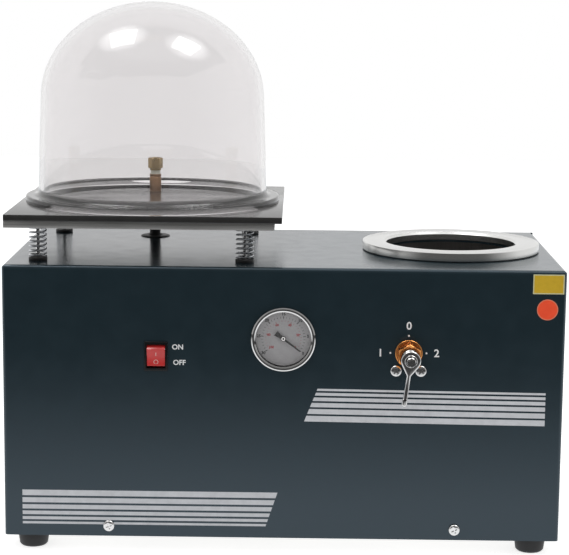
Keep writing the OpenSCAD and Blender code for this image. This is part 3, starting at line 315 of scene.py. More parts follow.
# Thin dust that settles on faces that look up.
def makeDustGroup():
    group, given, out = newGroup(
        "settledDust", [("Vector", "Vector", None), ("Amount", "Float", 0.1)], ["Mask"]
    )
    normal = add(group, "SeparateXYZ", {"Vector": add(group, "NewGeometry").outputs["Normal"]})
    upward = rescale(group, normal.outputs["Z"], 0.5, 1.0, 0.0, 1.0)
    patches = add(group, "TexNoise", {"Vector": given["Vector"], "Scale": 26.0, "Detail": 5.0})
    thick = rescale(group, patches.outputs["Fac"], 0.3, 0.75, 0.2, 1.0)
    mask = mathNode(group, "MULTIPLY", upward, thick)
    group.links.new(mathNode(group, "MULTIPLY", mask, given["Amount"]), out["Mask"])
    return group


groups = {
    "grain": makeGrainGroup(),
    "wearAndHighlight": makeWearGroup(),
    "rings": makeRingsGroup(),
    "brush": makeBrushGroup(),
    "dust": makeDustGroup(),
}


def useGroup(tree, name, inputs):
    return add(tree, "Group", inputs, node_tree=groups[name]).outputs


# ---- Finishes ----

finishes = {}


def shade(colour, factor):
    return tuple(min(1.0, c * factor) for c in colour[:3]) + (1,)


# A Principled material with its fixed values set straight on the shader.
def newFinish(name, **values):
    material = bpy.data.materials.new(name)
    material.use_nodes = True
    tree = material.node_tree
    shader = tree.nodes["Principled BSDF"]
    for key, value in values.items():
        shader.inputs[key.replace("_", " ")].default_value = value
    finishes[name] = material
    coords = add(tree, "TexCoord").outputs["Object"]
    return material, tree, shader, coords


# A colour that a texture's value moves between a darker and a lighter shade.
def uneven(tree, value, colour, contrast, least=0.3, most=0.7):
    tone = rescale(tree, value, least, most, 0.0, 1.0)
    return blendColours(tree, tone, shade(colour, 1 - contrast), shade(colour, 1 + contrast))


def setRoughness(tree, shader, value, smoothest, roughest):
    tree.links.new(rescale(tree, value, 0.3, 0.7, smoothest, roughest), shader.inputs["Roughness"])


def addBump(tree, shader, height, strength, depth):
    bump = add(tree, "Bump", {"Height": height, "Strength": strength, "Distance": depth})
    tree.links.new(bump.outputs[0], shader.inputs["Normal"])


dustColour = (0.5, 0.49, 0.47, 1)


# Sprayed paint, moulded plastic, rubber and castings: an even colour with grain and blotches. Sharp edges are painted
# lighter, partly as worn edges and partly as painted highlight.
def grainedFinish(name, colour, roughness, s, **values):
    material, tree, shader, coords = newFinish(name, **values)
    grain = useGroup(tree, "grain", {"Vector": coords, "Scale": s["scale"], "Swell": s.get("swell", 0.3)})
    base = uneven(tree, grain["Blotch"], colour, s.get("variation", 0.08))
    # The lighter edge colour on sharp corners is part wear, part painted highlight.
    if "edge" in s:
        wearAndHighlight = useGroup(tree, "wearAndHighlight", {"Vector": coords, "Radius": s.get("edgeWidth", 0.0008)})
        wornAndLit = mathNode(tree, "MULTIPLY", wearAndHighlight["Mask"], s.get("edgeAmount", 0.5))
        base = blendColours(tree, wornAndLit, base, s["edge"])
    if "dust" in s:
        dust = useGroup(tree, "dust", {"Vector": coords, "Amount": s["dust"]})
        base = blendColours(tree, dust["Mask"], base, dustColour)
    tree.links.new(base, shader.inputs["Base Color"])
    spread = s.get("roughnessSpread", 0.04)
    setRoughness(tree, shader, grain["Blotch"], roughness - spread, roughness + spread)
    addBump(tree, shader, grain["Height"], s.get("bump", 0.1), s.get("depth", 0.0002))
    return material


# A lathe-turned metal. The mapping moves the rings' axis to the piece's own.
def turnedFinish(name, colour, roughness, centre, scale, bump, contrast):
    material, tree, shader, coords = newFinish(name, Metallic=1.0)
    mapping = add(tree, "Mapping", {"Vector": coords, "Location": tuple(centre)}, vector_type="TEXTURE")
    rings = useGroup(tree, "rings", {"Vector": mapping.outputs[0], "Scale": scale})
    base = uneven(tree, rings["Tone"], colour, contrast)
    tree.links.new(base, shader.inputs["Base Color"])
    setRoughness(tree, shader, rings["Height"], roughness * 0.85, roughness * 1.15)
    addBump(tree, shader, rings["Height"], bump, 0.0001)
    return material


def brushedFinish(name, colour, roughness, scale=10.0, turn=(0, 0, 0)):
    material, tree, shader, coords = newFinish(name, Metallic=1.0)
    mapping = add(tree, "Mapping", {"Vector": coords, "Rotation": turn})
    lines = useGroup(tree, "brush", {"Vector": mapping.outputs[0], "Scale": scale, "Fineness": 60.0})
    base = uneven(tree, lines["Tone"], colour, 0.15, 0.35, 0.65)
    tree.links.new(base, shader.inputs["Base Color"])
    setRoughness(tree, shader, lines["Tone"], roughness * 0.8, roughness * 1.2)
    addBump(tree, shader, lines["Height"], 0.15, 0.0001)
    return material


# Plated or polished metal: nearly clean, with faint wipe marks.
def platedFinish(name, colour, roughness, bump=0.03, contrast=0.05):
    material, tree, shader, coords = newFinish(name, Metallic=1.0)
    grain = useGroup(tree, "grain", {"Vector": coords, "Scale": 960.0, "Swell": 0.5})
    base = uneven(tree, grain["Blotch"], colour, contrast)
    tree.links.new(base, shader.inputs["Base Color"])
    setRoughness(tree, shader, grain["Blotch"], roughness * 0.7, roughness * 1.3)
    addBump(tree, shader, grain["Height"], bump, 0.0001)
    return material


# Clear glass or acrylic. Faint waves bend what is behind it a little.
def clearFinish(name, colour, ior, waves):
    material, tree, shader, coords = newFinish(name, Roughness=0.0, IOR=ior, Transmission_Weight=1.0)
    broad = add(tree, "TexNoise", {"Vector": coords, "Scale": 14.0, "Detail": 1.0})
    base = blendColours(tree, broad.outputs["Fac"], shade(colour, 0.99), shade(colour, 1.01))
    tree.links.new(base, shader.inputs["Base Color"])
    addBump(tree, shader, broad.outputs["Fac"], waves, 0.001)
    return material


# Printed ink and labels, a touch uneven in tone and gloss.
def inkFinish(name, colour, roughness=0.5):
    return grainedFinish(name, colour, roughness, {"scale": 2500.0, "variation": 0.06, "bump": 0.05})


# Its lighter blue-grey edge colour on the corners is part wear, part painted highlight.
grainedFinish(
    "casing_paint", (0.011, 0.024, 0.031), 0.2,
    {"scale": 900.0, "swell": 0.55, "variation": 0.05, "bump": 0.05, "depth": 0.0001,
     "edge": (0.05, 0.075, 0.09, 1), "edgeAmount": 0.35, "edgeWidth": 0.0012, "dust": 0.015,
     "roughnessSpread": 0.02},
    Specular_IOR_Level=0.8, Specular_Tint=(0.76, 0.88, 1.0, 1),
)
grainedFinish(
    "black_rubber", (0.012, 0.012, 0.013), 0.5,
    {"scale": 1400.0, "bump": 0.25, "dust": 0.05, "edge": (0.05, 0.05, 0.05, 1)},
)
grainedFinish(
    "mat_rubber", (0.024, 0.0235, 0.023), 0.17,
    {"scale": 1800.0, "bump": 0.02, "variation": 0.1, "roughnessSpread": 0.03, "dust": 0.02},
    Specular_IOR_Level=0.9,
)
grainedFinish(
    "black_plastic", (0.006, 0.006, 0.007), 0.28, {"scale": 1600.0, "bump": 0.06}, Specular_IOR_Level=0.3
)
grainedFinish(
    "red_plastic", (0.58, 0.029, 0.028), 0.18, {"scale": 1200.0, "bump": 0.02, "variation": 0.04},
    Coat_Weight=0.3,
)
grainedFinish("dial_paint", (0.345, 0.338, 0.348), 0.45, {"scale": 2600.0, "variation": 0.05})
grainedFinish("pointer_paint", (0.005, 0.005, 0.005), 0.5, {"scale": 3000.0})
grainedFinish(
    "white_tape", (0.62, 0.61, 0.52), 0.45, {"scale": 500.0, "swell": 0.7, "bump": 0.5, "variation": 0.12}
)
grainedFinish(
    "motor_paint", (0.03, 0.04, 0.055), 0.35,
    {"scale": 500.0, "bump": 0.2, "edge": (0.25, 0.26, 0.27, 1), "dust": 0.1},
)
grainedFinish(
    "cast_iron", (0.11, 0.11, 0.115), 0.55,
    {"scale": 420.0, "bump": 0.6, "depth": 0.0004, "variation": 0.2, "edge": (0.35, 0.35, 0.35, 1)},
    Metallic=0.8,
)
platedFinish("bright_steel", (0.82, 0.81, 0.80), 0.08)
platedFinish("spring_steel", (0.52, 0.53, 0.55), 0.13)
platedFinish("copper_plate", (0.86, 0.36, 0.11), 0.24, contrast=0.08, bump=0.01)
platedFinish("brass", (0.50, 0.34, 0.15), 0.28, contrast=0.15, bump=0.1)
platedFinish("winding_copper", (0.62, 0.28, 0.12), 0.35, contrast=0.2)
brushedFinish("bare_steel", (0.42, 0.41, 0.39), 0.34)
brushedFinish("plate_steel", (0.62, 0.61, 0.59), 0.48)
brushedFinish("dark_steel", (0.20, 0.19, 0.18), 0.4, turn=(0, math.radians(90), 0))
brushedFinish("machined_aluminium", (0.66, 0.66, 0.64), 0.3, scale=16.0)
clearFinish("jar_glass", (0.872, 0.858, 0.861), 1.49, 0.008)
clearFinish("lens_glass", (0.97, 0.97, 0.97), 1.45, 0.0)

inkFinish("white_ink", (0.82, 0.83, 0.84))
inkFinish("silver_ink", (0.64, 0.655, 0.69), 0.42)
inkFinish("black_ink", (0.012, 0.012, 0.014))
inkFinish("red_ink", (0.30, 0.035, 0.045))
inkFinish("yellow_label", (0.62, 0.40, 0.008), 0.4)
inkFinish("label_edge", (0.62, 0.60, 0.35), 0.4)
inkFinish("orange_label", (1.0, 0.08, 0.016), 0.4)
inkFinish("orange_rim", (0.80, 0.22, 0.12), 0.4)
inkFinish("pale_mark", (0.72, 0.45, 0.42), 0.35)

for part in frame["record"]["subparts"]:
    for materialSlot in frame["nodes"][part["node"]].material_slots:
        materialSlot.material = finishes[part["material_slot"]]
print("finishes made:", len(finishes))

# ---- Tools for modelling: a piece is drawn in millimetres about its own origin ----

pointForwards = Matrix.Rotation(math.radians(90), 4, "X")
pointBackwards = Matrix.Rotation(math.radians(-90), 4, "X")
pointRight = Matrix.Rotation(math.radians(90), 4, "Y")
pointLeft = Matrix.Rotation(math.radians(-90), 4, "Y")


def middle(node):
    low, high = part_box(node)
    return (low + high) / 2


# The middle of a node's box, at its foot.
def footOf(node):
    low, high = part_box(node)
    return ((low.x + high.x) / 2, (low.y + high.y) / 2, low.z)


# Turns a bmesh into a finished piece at its place, riding on its body.
def settle(bm, name, finish, place, turn=Matrix(), body="casing", replaced=(), smoothBelow=32):
    bmesh.ops.remove_doubles(bm, verts=bm.verts, dist=0.0005)
    bmesh.ops.recalc_face_normals(bm, faces=bm.faces)
    bm.transform(Matrix.Translation(place) @ turn @ Matrix.Scale(0.001, 4))
    for face in bm.faces:
        face.smooth = True
    for edge in bm.edges:
        sharp = len(edge.link_faces) != 2 or edge.calc_face_angle(0) > math.radians(smoothBelow)
        edge.smooth = not sharp
    mesh = bpy.data.meshes.new(name)
    bm.to_mesh(mesh)
    bm.free()
    mesh.materials.append(finishes[finish])
    piece = bpy.data.objects.new(name, mesh)
    bpy.context.scene.collection.objects.link(piece)
    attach(piece, body)
    if replaced:
        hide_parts(*replaced)
    return piece


# Clear glass throws no shadow on what stands behind it.
def passLight(piece):
    piece.visible_shadow = False
    piece.visible_diffuse = False


# Spins a profile of (radius, height) points round Z. A ring's section is closed first.
def turned(profile, steps=96, ring=False):
    bm = bmesh.new()
    verts = [bm.verts.new((radius, 0, height)) for radius, height in profile]
    pairs = list(zip(verts, verts[1:]))
    if ring:
        pairs.append((verts[-1], verts[0]))
    edges = [bm.edges.new(pair) for pair in pairs]
    bmesh.ops.spin(
        bm, geom=verts + edges, cent=(0, 0, 0), axis=(0, 0, 1), dvec=(0, 0, 0), angle=2 * math.pi,
        steps=steps, use_merge=True, use_normal_flip=False, use_duplicate=False,
    )
    bmesh.ops.remove_doubles(bm, verts=bm.verts, dist=0.0005)
    bmesh.ops.recalc_face_normals(bm, faces=bm.faces)
    return bm


# Rounds every edge that is sharper than an angle in degrees.
def roundEdges(bm, width, segments=2, angle=35):
    edges = [e for e in bm.edges if len(e.link_faces) == 2 and e.calc_face_angle(0) > math.radians(angle)]
    bmesh.ops.bevel(
        bm, geom=edges, offset=width, offset_type="OFFSET", segments=segments, profile=0.5,
        affect="EDGES", material=-1, clamp_overlap=True,
    )


def block(size, centre=(0, 0, 0), bm=None):
    bm = bm or bmesh.new()
    matrix = Matrix.Translation(centre) @ Matrix.Diagonal((*size, 1))
    bmesh.ops.create_cube(bm, size=1, matrix=matrix)
    return bm


# A turned ring that is cut to a hexagon above a height, as a nut with a round flange is.
def hexRing(profile, acrossFlats, turn=0.0, steps=72, above=-1000.0):
    bm = turned(profile, steps, ring=True)
    for vert in [v for v in bm.verts if v.co.z > above]:
        angle = math.atan2(vert.co.y, vert.co.x)
        side = angle % math.radians(60) - math.radians(30)
        limit = acrossFlats / 2 / math.cos(side)
        radius = vert.co.xy.length
        if radius > limit:
            vert.co.xy *= limit / radius
    bm.transform(Matrix.Rotation(math.radians(turn), 4, "Z"))
    return bm


# The outer side of a nut from one height to another, with a chamfer at its far end.
def hexSide(acrossFlats, low, high, chamfer):
    corner = acrossFlats / 2 / math.cos(math.radians(30)) + 0.01
    side = [(corner, low), (corner, high - chamfer)]
    for k in range(1, 6):
        side.append((corner - (corner - acrossFlats / 2 + 0.3) * k / 5, high - chamfer * (1 - k / 5)))
    return side


# Lifts an outline in the XY plane into a plate.
def plate(outline, thickness, bm=None, low=0.0):
    bm = bm or bmesh.new()
    face = bm.faces.new([bm.verts.new((x, y, low)) for x, y in outline])
    lifted = bmesh.ops.extrude_face_region(bm, geom=[face])["geom"]
    tops = [v for v in lifted if isinstance(v, bmesh.types.BMVert)]
    bmesh.ops.translate(bm, vec=(0, 0, thickness), verts=tops)
    return bm


def arcPoints(centre, radius, fromAngle, toAngle, count):
    points = []
    for k in range(count + 1):
        angle = math.radians(fromAngle + (toAngle - fromAngle) * k / count)
        points.append((centre[0] + radius * math.cos(angle), centre[1] + radius * math.sin(angle)))
    return points


# Runs one modifier on a passing mesh and gives the result back as a bmesh.
def changed(bm, kind, **settings):
    mesh = bpy.data.meshes.new("passing")
    bm.to_mesh(mesh)
    bm.free()
    holder = bpy.data.objects.new("passing", mesh)
    bpy.context.scene.collection.objects.link(holder)
    modifier = holder.modifiers.new("passing", kind)
    for key, value in settings.items():
        setattr(modifier, key, value)
    done = bpy.data.meshes.new_from_object(holder.evaluated_get(bpy.context.evaluated_depsgraph_get()))
    result = bmesh.new()
    result.from_mesh(done)
    bpy.data.objects.remove(holder)
    bpy.data.meshes.remove(done)
    return result


# Cuts the space of one closed shape out of another.
def carved(bm, cut):
    mesh = bpy.data.meshes.new("passing_cut")
    cut.to_mesh(mesh)
    cut.free()
    cutter = bpy.data.objects.new("passing_cut", mesh)
    bpy.context.scene.collection.objects.link(cutter)
    result = changed(bm, "BOOLEAN", operation="DIFFERENCE", use_self=True, object=cutter)
    bpy.data.objects.remove(cutter)
    return result


def merge(bm, other, matrix=Matrix()):
    mesh = bpy.data.meshes.new("passing")
    other.transform(matrix)
    other.to_mesh(mesh)
    other.free()
    bm.from_mesh(mesh)
    bpy.data.meshes.remove(mesh)


# Letters and figures as thin solids, centred on a point of the XY plane.
def addText(bm, text, capHeight, centre, thickness, weight):
    curve = bpy.data.curves.new("passing_text", "FONT")
    curve.body = text
    curve.size = capHeight / 0.69
    curve.offset = weight
    curve.extrude = thickness / 2
    curve.resolution_u = 3
    curve.align_x = "CENTER"
    letters = bpy.data.objects.new("passing_text", curve)
    bpy.context.scene.collection.objects.link(letters)
    mesh = bpy.data.meshes.new_from_object(letters.evaluated_get(bpy.context.evaluated_depsgraph_get()))
    mesh.transform(Matrix.Translation((centre[0], centre[1] - capHeight / 2, thickness / 2)))
    bm.from_mesh(mesh)
    bpy.data.objects.remove(letters)
    bpy.data.curves.remove(curve)
    bpy.data.meshes.remove(mesh)


# ---- Casing: feet, screws and what is printed or stuck on the front ----

casingLow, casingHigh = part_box("cover_shell")
frontY = casingLow.y


# A point on the front panel, in millimetres from the casing's middle and up from its bottom edge.
def onFront(x=0.0, up=0.0):
    return Vector((x / 1000, frontY, casingLow.z + up / 1000))


footSettings = {
    "topR": 16.5, "lowR": 14.5, "soleR": 12.6, "soleH": 2.0, "recessR": 5.0, "recessH": 7.0, "boreR": 2.1, "round": 0.5,
}


def makeFeet(s):
    low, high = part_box("rubber_feet")
    height = (high.z - low.z) * 1000
    profile = [
        (s["boreR"], height), (s["topR"], height), (s["lowR"], s["soleH"]), (s["soleR"], 0),
        (s["recessR"], 0), (s["recessR"], s["recessH"]), (s["boreR"], s["recessH"]),
    ]
    whole = bmesh.new()
    reach = Vector((high.x, high.y, 0)) - Vector((s["topR"], s["topR"], 0)) / 1000
    middleY = (low.y + high.y) / 2
    for sideX in (-1, 1):
        for sideY in (-1, 1):
            foot = turned(profile, steps=48, ring=True)
            roundEdges(foot, s["round"])
            x = sideX * reach.x * 1000
            y = (middleY + sideY * (reach.y - middleY)) * 1000
            merge(whole, foot, Matrix.Translation((x, y, 0)))
    settle(whole, "feet", "black_rubber", (0, 0, low.z), replaced=["rubber_feet"])


makeFeet(footSettings)

screwSettings = {
    "frontX": 176.0, "lowUp": 11.0, "highDown": 11.0, "sideY": 90.0, "rearX": (-240.0, 0.0, 240.0),
    "bracketDx": 12.5, "bracketDz": -18.1, "footInset": 26.0, "footRecess": 7.0,
    "headR": 6.0, "headH": 3.2, "smallHeadR": 4.5, "smallHeadH": 2.8,
    "shankR": 2.0, "shankLen": 12.0, "bracketShankLen": 5.5,
    "firstTurn": 20, "nextTurn": 31,    # degrees, so that no two recesses stand alike
}
panHead = ((1.0, 0.3), (0.95, 0.66), (0.85, 0.9), (0.72, 1.0))    # shares of the head's radius and height
crossRecess = (1.05, 0.22)    # length and width, as shares of the radius


# One pan-head screw with a cross recess, pointing up, its head resting on z = 0.
def screwMesh(radius, height, shankR, shankLen):
    dome = [(radius * across, height * up) for across, up in panHead]
    profile = [(0, -shankLen), (shankR, -shankLen), (shankR, 0), (radius, 0), *dome, (0, height)]
    head = turned(profile, steps=40)
    length, width = (radius * share for share in crossRecess)
    cross = block((length, width, height), (0, 0, height))
    block((width, length, height), (0, 0, height), cross)
    screw = carved(head, cross)
    mesh = bpy.data.meshes.new("passing_screw")
    screw.to_mesh(mesh)
    screw.free()
    return mesh


def makeScrews(s):
    large = screwMesh(s["headR"], s["headH"], s["shankR"], s["shankLen"])
    short = screwMesh(s["headR"], s["headH"], s["shankR"], s["bracketShankLen"])
    small = screwMesh(s["smallHeadR"], s["smallHeadH"], s["shankR"], s["shankLen"])
    middleY = (casingLow.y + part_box("rear_panel")[1].y) / 2 * 1000
    bottom, top = casingLow.z * 1000, casingHigh.z * 1000
    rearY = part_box("rear_panel")[1].y * 1000
    valve = middle("panel_nut") * 1000
    spots = []
    for side in (-1, 1):
        spots.append((large, (side * s["frontX"], frontY * 1000, bottom + s["lowUp"]), pointForwards))
        bracket = (valve.x + side * s["bracketDx"], frontY * 1000, valve.z + s["bracketDz"])
        spots.append((short, bracket, pointForwards))
        for y in (-s["sideY"], s["sideY"]):
            turn = pointRight if side > 0 else pointLeft
            spots.append((small, (side * casingHigh.x * 1000, middleY + y, bottom + s["lowUp"]), turn))
            x = side * (casingHigh.x * 1000 - s["footInset"])
            inset = (rearY - frontY * 1000) / 2 - s["footInset"]
            footY = middleY + math.copysign(inset, y)
            spots.append((small, (x, footY, s["footRecess"]), Matrix.Rotation(math.pi, 4, "X")))
    for x in s["rearX"]:
        for z in (bottom + s["lowUp"], top - s["highDown"]):
            spots.append((small, (x, rearY, z), pointBackwards))
    whole = bmesh.new()
    for number, (mesh, spot, turn) in enumerate(spots):
        copy = mesh.copy()
        aim = Matrix.Rotation(math.radians(s["firstTurn"] + s["nextTurn"] * number), 4, "Z")
        copy.transform(Matrix.Translation(spot) @ turn @ aim)
        whole.from_mesh(copy)
    settle(whole, "panel_screws", "bright_steel", (0, 0, 0), replaced=["case_screws"])


makeScrews(screwSettings)

stripeSettings = {
    "lower": {
        "square": -264.0, "slant": -4.0, "slantUp": 48.8, "lean": 0.333, "from": 12.1, "thin": 2.4, "growth": 0.7,
        "gap": 2.15, "rise": 0.0,
    },
    "upper": {
        "square": 264.5, "slant": 35.7, "slantUp": 156.2, "lean": 0.39, "from": 154.5, "thin": 2.2, "growth": 0.74,
        "gap": 1.95, "rise": 0.0083,
    },
}
stripeCount = 6
stripeThickness = 0.07


# Six stripes, square at the casing's edge and slanted at the other end. They widen towards the slant's foot.
def makeStripes(name, s, upwards):
    whole = bmesh.new()
    edge = s["from"]
    for k in range(stripeCount):
        width = s["thin"] + s["growth"] * k
        low, high = (edge, edge + width) if upwards else (edge - width, edge)
        slantLow = s["slant"] - s["lean"] * (s["slantUp"] - low)
        slantHigh = s["slant"] - s["lean"] * (s["slantUp"] - high)
        corners = [(s["square"], low), (slantLow, low), (slantHigh, high), (s["square"], high)]
        plate([(x, up + s["rise"] * abs(s["square"] - x)) for x, up in corners], stripeThickness, whole)
        edge = high + s["gap"] if upwards else low - s["gap"]
    settle(whole, name, "silver_ink", onFront(), pointForwards)


makeStripes("stripes_lower", stripeSettings["lower"], upwards=True)
makeStripes("stripes_upper", stripeSettings["upper"], upwards=False)

printSettings = {
    "words": (("ON", (-106.0, 197.6)), ("OFF", (-104.3, 181.75))), "capHeight": 5.0, "weight": 0.16,
    "figures": (("0", (125.8, 222.0)), ("1", (97.5, 194.3)), ("2", (154.0, 194.3))),
    "figureHeight": 7.6, "figureWeight": 0.208,
    "dots": ((125.8, 211.7), (107.5, 194.1), (143.7, 194.1)), "dotR": 0.95, "thickness": 0.06,
}


def makePrint(s):
    printed = bmesh.new()
    for text, centre in s["words"]:
        addText(printed, text, s["capHeight"], centre, s["thickness"], s["weight"])
    for text, centre in s["figures"]:
        addText(printed, text, s["figureHeight"], centre, s["thickness"], s["figureWeight"])
    for x, up in s["dots"]:
        dot = turned([(0, 0), (s["dotR"], 0), (s["dotR"], s["thickness"]), (0, s["thickness"])], steps=24)
        merge(printed, dot, Matrix.Translation((x, up, 0)))
    settle(printed, "panel_print", "white_ink", onFront(), pointForwards)


makePrint(printSettings)

labelSettings = {
    "squareX": 264.1, "squareUp": 265.6, "width": 31.2, "height": 19.9, "border": 1.1,
    "roundX": 263.6, "roundUp": 239.8, "roundR": 10.6, "rim": 0.9, "thickness": 0.12, "film": 0.04,
}


def makeLabels(s):
    top, film = s["thickness"], s["film"]
    place = onFront(s["squareX"], s["squareUp"])
    card = block((s["width"], s["height"], top), (0, 0, top / 2))
    settle(card, "label_card", "label_edge", place, pointForwards)
    inner = (s["width"] - 2 * s["border"], s["height"] - 2 * s["border"], film)
    field = block(inner, (0, 0, top + film / 2))
    settle(field, "label_field", "yellow_label", place, pointForwards)
    place = onFront(s["roundX"], s["roundUp"])
    disc = turned([(0, 0), (s["roundR"], 0), (s["roundR"], top), (0, top)], steps=64)
    settle(disc, "round_label", "orange_rim", place, pointForwards)
    fieldR = s["roundR"] - s["rim"]
    face = turned([(0, top), (fieldR, top), (fieldR, top + film), (0, top + film)], steps=64)
    settle(face, "round_label_field", "orange_label", place, pointForwards)


makeLabels(labelSettings)
print("casing details made")

# ---- Investment table: plate, mat, springs, seats and nozzle ----

tableSettings = {"plateEdge": 0.5, "matEdge": 0.7}
tableTravel = 0.008    # metres, at the lowest pose


# A square slab with rounded edges. The nozzle's pipe stands in it.
def makeSlab(node, name, finish, edge):
    low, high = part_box(node)
    size = (high - low) * 1000
    bm = block(size, (0, 0, size.z / 2))
    roundEdges(bm, edge, 3)
    settle(bm, name, finish, footOf(node), body="table", replaced=[node])


makeSlab("table_plate", "table_slab", "plate_steel", tableSettings["plateEdge"])
makeSlab("table_mat", "rubber_mat", "mat_rubber", tableSettings["matEdge"])

springSettings = {
    "wire": 1.8, "openTurns": 5.9, "closedTurns": 0.75, "closedPitch": 2.3, "perTurn": 32, "sides": 12,
}


# A compression spring: its wire's section is spun upwards, close at the ends and open between them.
def makeSpring(node, s):
    low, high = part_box(node)
    coilR = ((high.x - low.x) * 1000 - s["wire"]) / 2
    length = (high.z - low.z) * 1000 - s["wire"]
    openPitch = (length - 2 * s["closedTurns"] * s["closedPitch"]) / s["openTurns"]
    bm = bmesh.new()
    bmesh.ops.create_circle(bm, segments=s["sides"], radius=s["wire"] / 2, cap_ends=False)
    bmesh.ops.rotate(bm, verts=bm.verts, matrix=Matrix.Rotation(math.pi / 2, 3, "X"))
    bmesh.ops.translate(bm, verts=bm.verts, vec=(coilR, 0, s["wire"] / 2))
    tip = list(bm.verts) + list(bm.edges)
    closed = (s["closedTurns"], s["closedPitch"])
    for turns, pitch in (closed, (s["openTurns"], openPitch), closed):
        steps = round(turns * s["perTurn"])
        tip = bmesh.ops.spin(
            bm, geom=tip, cent=(0, 0, 0), axis=(0, 0, 1), dvec=(0, 0, pitch * turns / steps),
            angle=2 * math.pi * turns, steps=steps, use_merge=False, use_normal_flip=False, use_duplicate=False,
        )["geom_last"]
    bmesh.ops.holes_fill(bm, edges=bm.edges, sides=0)
    place = ((low.x + high.x) / 2, (low.y + high.y) / 2, low.z)
    piece = settle(bm, node + "_wire", "spring_steel", place, replaced=[node], smoothBelow=60)
    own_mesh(piece)


for springNode in ("spring_front_left", "spring_front_right", "spring_back_left", "spring_back_right"):
    makeSpring(springNode, springSettings)


def springPlaces():
    for springNode in ("spring_front_left", "spring_front_right", "spring_back_left", "spring_back_right"):
        spot = middle(springNode)
        yield spot.x * 1000, spot.y * 1000


def makeSeats():
    low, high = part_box("spring_seats")
    top = (high.z - low.z) * 1000
    deck = (casingHigh.z - low.z) * 1000
    profile = [(2.06, 0), (6.0, 0), (6.0, deck), (9.5, deck), (9.5, top), (2.06, top)]
    whole = bmesh.new()
    for x, y in springPlaces():
        seat = turned(profile, steps=48, ring=True)
        roundEdges(seat, 0.5)
        merge(whole, seat, Matrix.Translation((x, y, 0)))
    settle(whole, "rubber_seats", "black_rubber", (0, 0, low.z), replaced=["spring_seats"])


makeSeats()

nozzleSettings = {"pipeR": 6.5, "neckR": 5.0, "boreR": 3.0, "collarR": 6.2, "collarH": 2.0, "flats": 14.2, "turn": 8.0}


def makeNozzle(s):
    pipeLow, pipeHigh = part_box("nozzle_pipe")
    headLow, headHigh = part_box("nozzle_head")
    tapeLow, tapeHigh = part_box("nozzle_tape")
    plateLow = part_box("table_plate")[0].z
    place = Vector(((pipeLow.x + pipeHigh.x) / 2, (pipeLow.y + pipeHigh.y) / 2, 0))
    base, top = plateLow * 1000, tapeLow.z * 1000
    barbLow = pipeLow.z * 1000
    profile = [
        (2.2, barbLow), (4.0, barbLow), (4.4, barbLow + 4), (4.0, barbLow + 4.5), (4.0, base), (s["pipeR"], base),
        (s["pipeR"], top - 3.4), (s["pipeR"] - 0.5, top - 3.0), (s["pipeR"] - 0.5, top - 2.4),
        (s["pipeR"], top - 2.0), (s["pipeR"], top), (s["neckR"], top), (s["neckR"], pipeHigh.z * 1000),
        (2.2, pipeHigh.z * 1000),
    ]
    pipe = turned(profile, steps=64, ring=True)
    roundEdges(pipe, 0.25)
    settle(pipe, "nozzle_tube", "nozzle_bronze", place, body="table", replaced=["nozzle_pipe"])
    # the head is a hexagon over a round collar, drilled through
    low, high = headLow.z * 1000, headHigh.z * 1000
    waist = low + s["collarH"]
    profile = [(s["neckR"] + 0.05, low), (s["collarR"], low), (s["collarR"], waist), (s["flats"] / 2 - 0.4, waist)]
    profile += hexSide(s["flats"], waist + 0.4, high, 0.9)
    profile += [(s["boreR"] + 0.4, high), (s["boreR"], high - 0.4)]
    profile += [(s["boreR"], high - 9), (s["neckR"] + 0.05, high - 9.2)]
    head = hexRing(profile, s["flats"], s["turn"])
    settle(head, "nozzle_hexagon", "nozzle_brass", place, body="table", replaced=["nozzle_head"])
    # thread tape, wound in three uneven layers
    tapeFrom, tapeTo = tapeLow.z * 1000, tapeHigh.z * 1000
    step = (tapeTo - tapeFrom) / 3
    section = [(s["neckR"], tapeFrom)]
    for k, radius in enumerate((5.65, 5.45, 5.6)):
        section += [(radius - 0.1, tapeFrom + step * k + 0.05), (radius, tapeFrom + step * (k + 0.5))]
        section += [(radius - 0.15, tapeFrom + step * (k + 1) - 0.05)]
    section.append((s["neckR"], tapeTo))
    tape = turned(section, steps=56, ring=True)
    settle(tape, "thread_tape", "white_tape", place, body="table", replaced=["nozzle_tape"])


platedFinish("nozzle_brass", (0.30, 0.22, 0.11), 0.3, contrast=0.2, bump=0.12)
platedFinish("nozzle_bronze", (0.26, 0.15, 0.08), 0.33, contrast=0.25, bump=0.12)
makeNozzle(nozzleSettings)


def makeGrommet():
    low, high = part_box("hose_grommet")
    radius = (high.x - low.x) * 500
    top, deck = (high.z - low.z) * 1000, (casingHigh.z - low.z) * 1000
    profile = [
        (7.6, 0), (radius - 1, 0), (radius - 1, 2), (13, 2), (13, deck), (radius, deck),
        (radius - 0.4, deck + 0.9), (radius - 2.4, top), (9.2, top), (7.6, top - 1.0),
    ]
    bm = turned(profile, steps=72, ring=True)
    place = footOf("hose_grommet")
    settle(bm, "hose_grommet_ring", "black_rubber", place, replaced=["hose_grommet"])


makeGrommet()
print("table made")

# ---- Hoses and cables, drawn in the casing's own millimetres ----

casingPlace = Vector((0, frontY + 0.141, 0))


# The smooth curve through a route's points, with some steps from each point to the next.
def smoothPath(route, steps):
    points = [Vector(spot) for spot in route]
    points = [2 * points[0] - points[1], *points, 2 * points[-1] - points[-2]]
    path = []
    for a, b, c, d in zip(points, points[1:], points[2:], points[3:]):
        for step in range(steps):
            t = step / steps
            bend = (2 * a - 5 * b + 4 * c - d) * t ** 2 + (3 * b - a - 3 * c + d) * t ** 3
            path.append((2 * b + (c - a) * t + bend) / 2)
    path.append(points[-2])
    return path


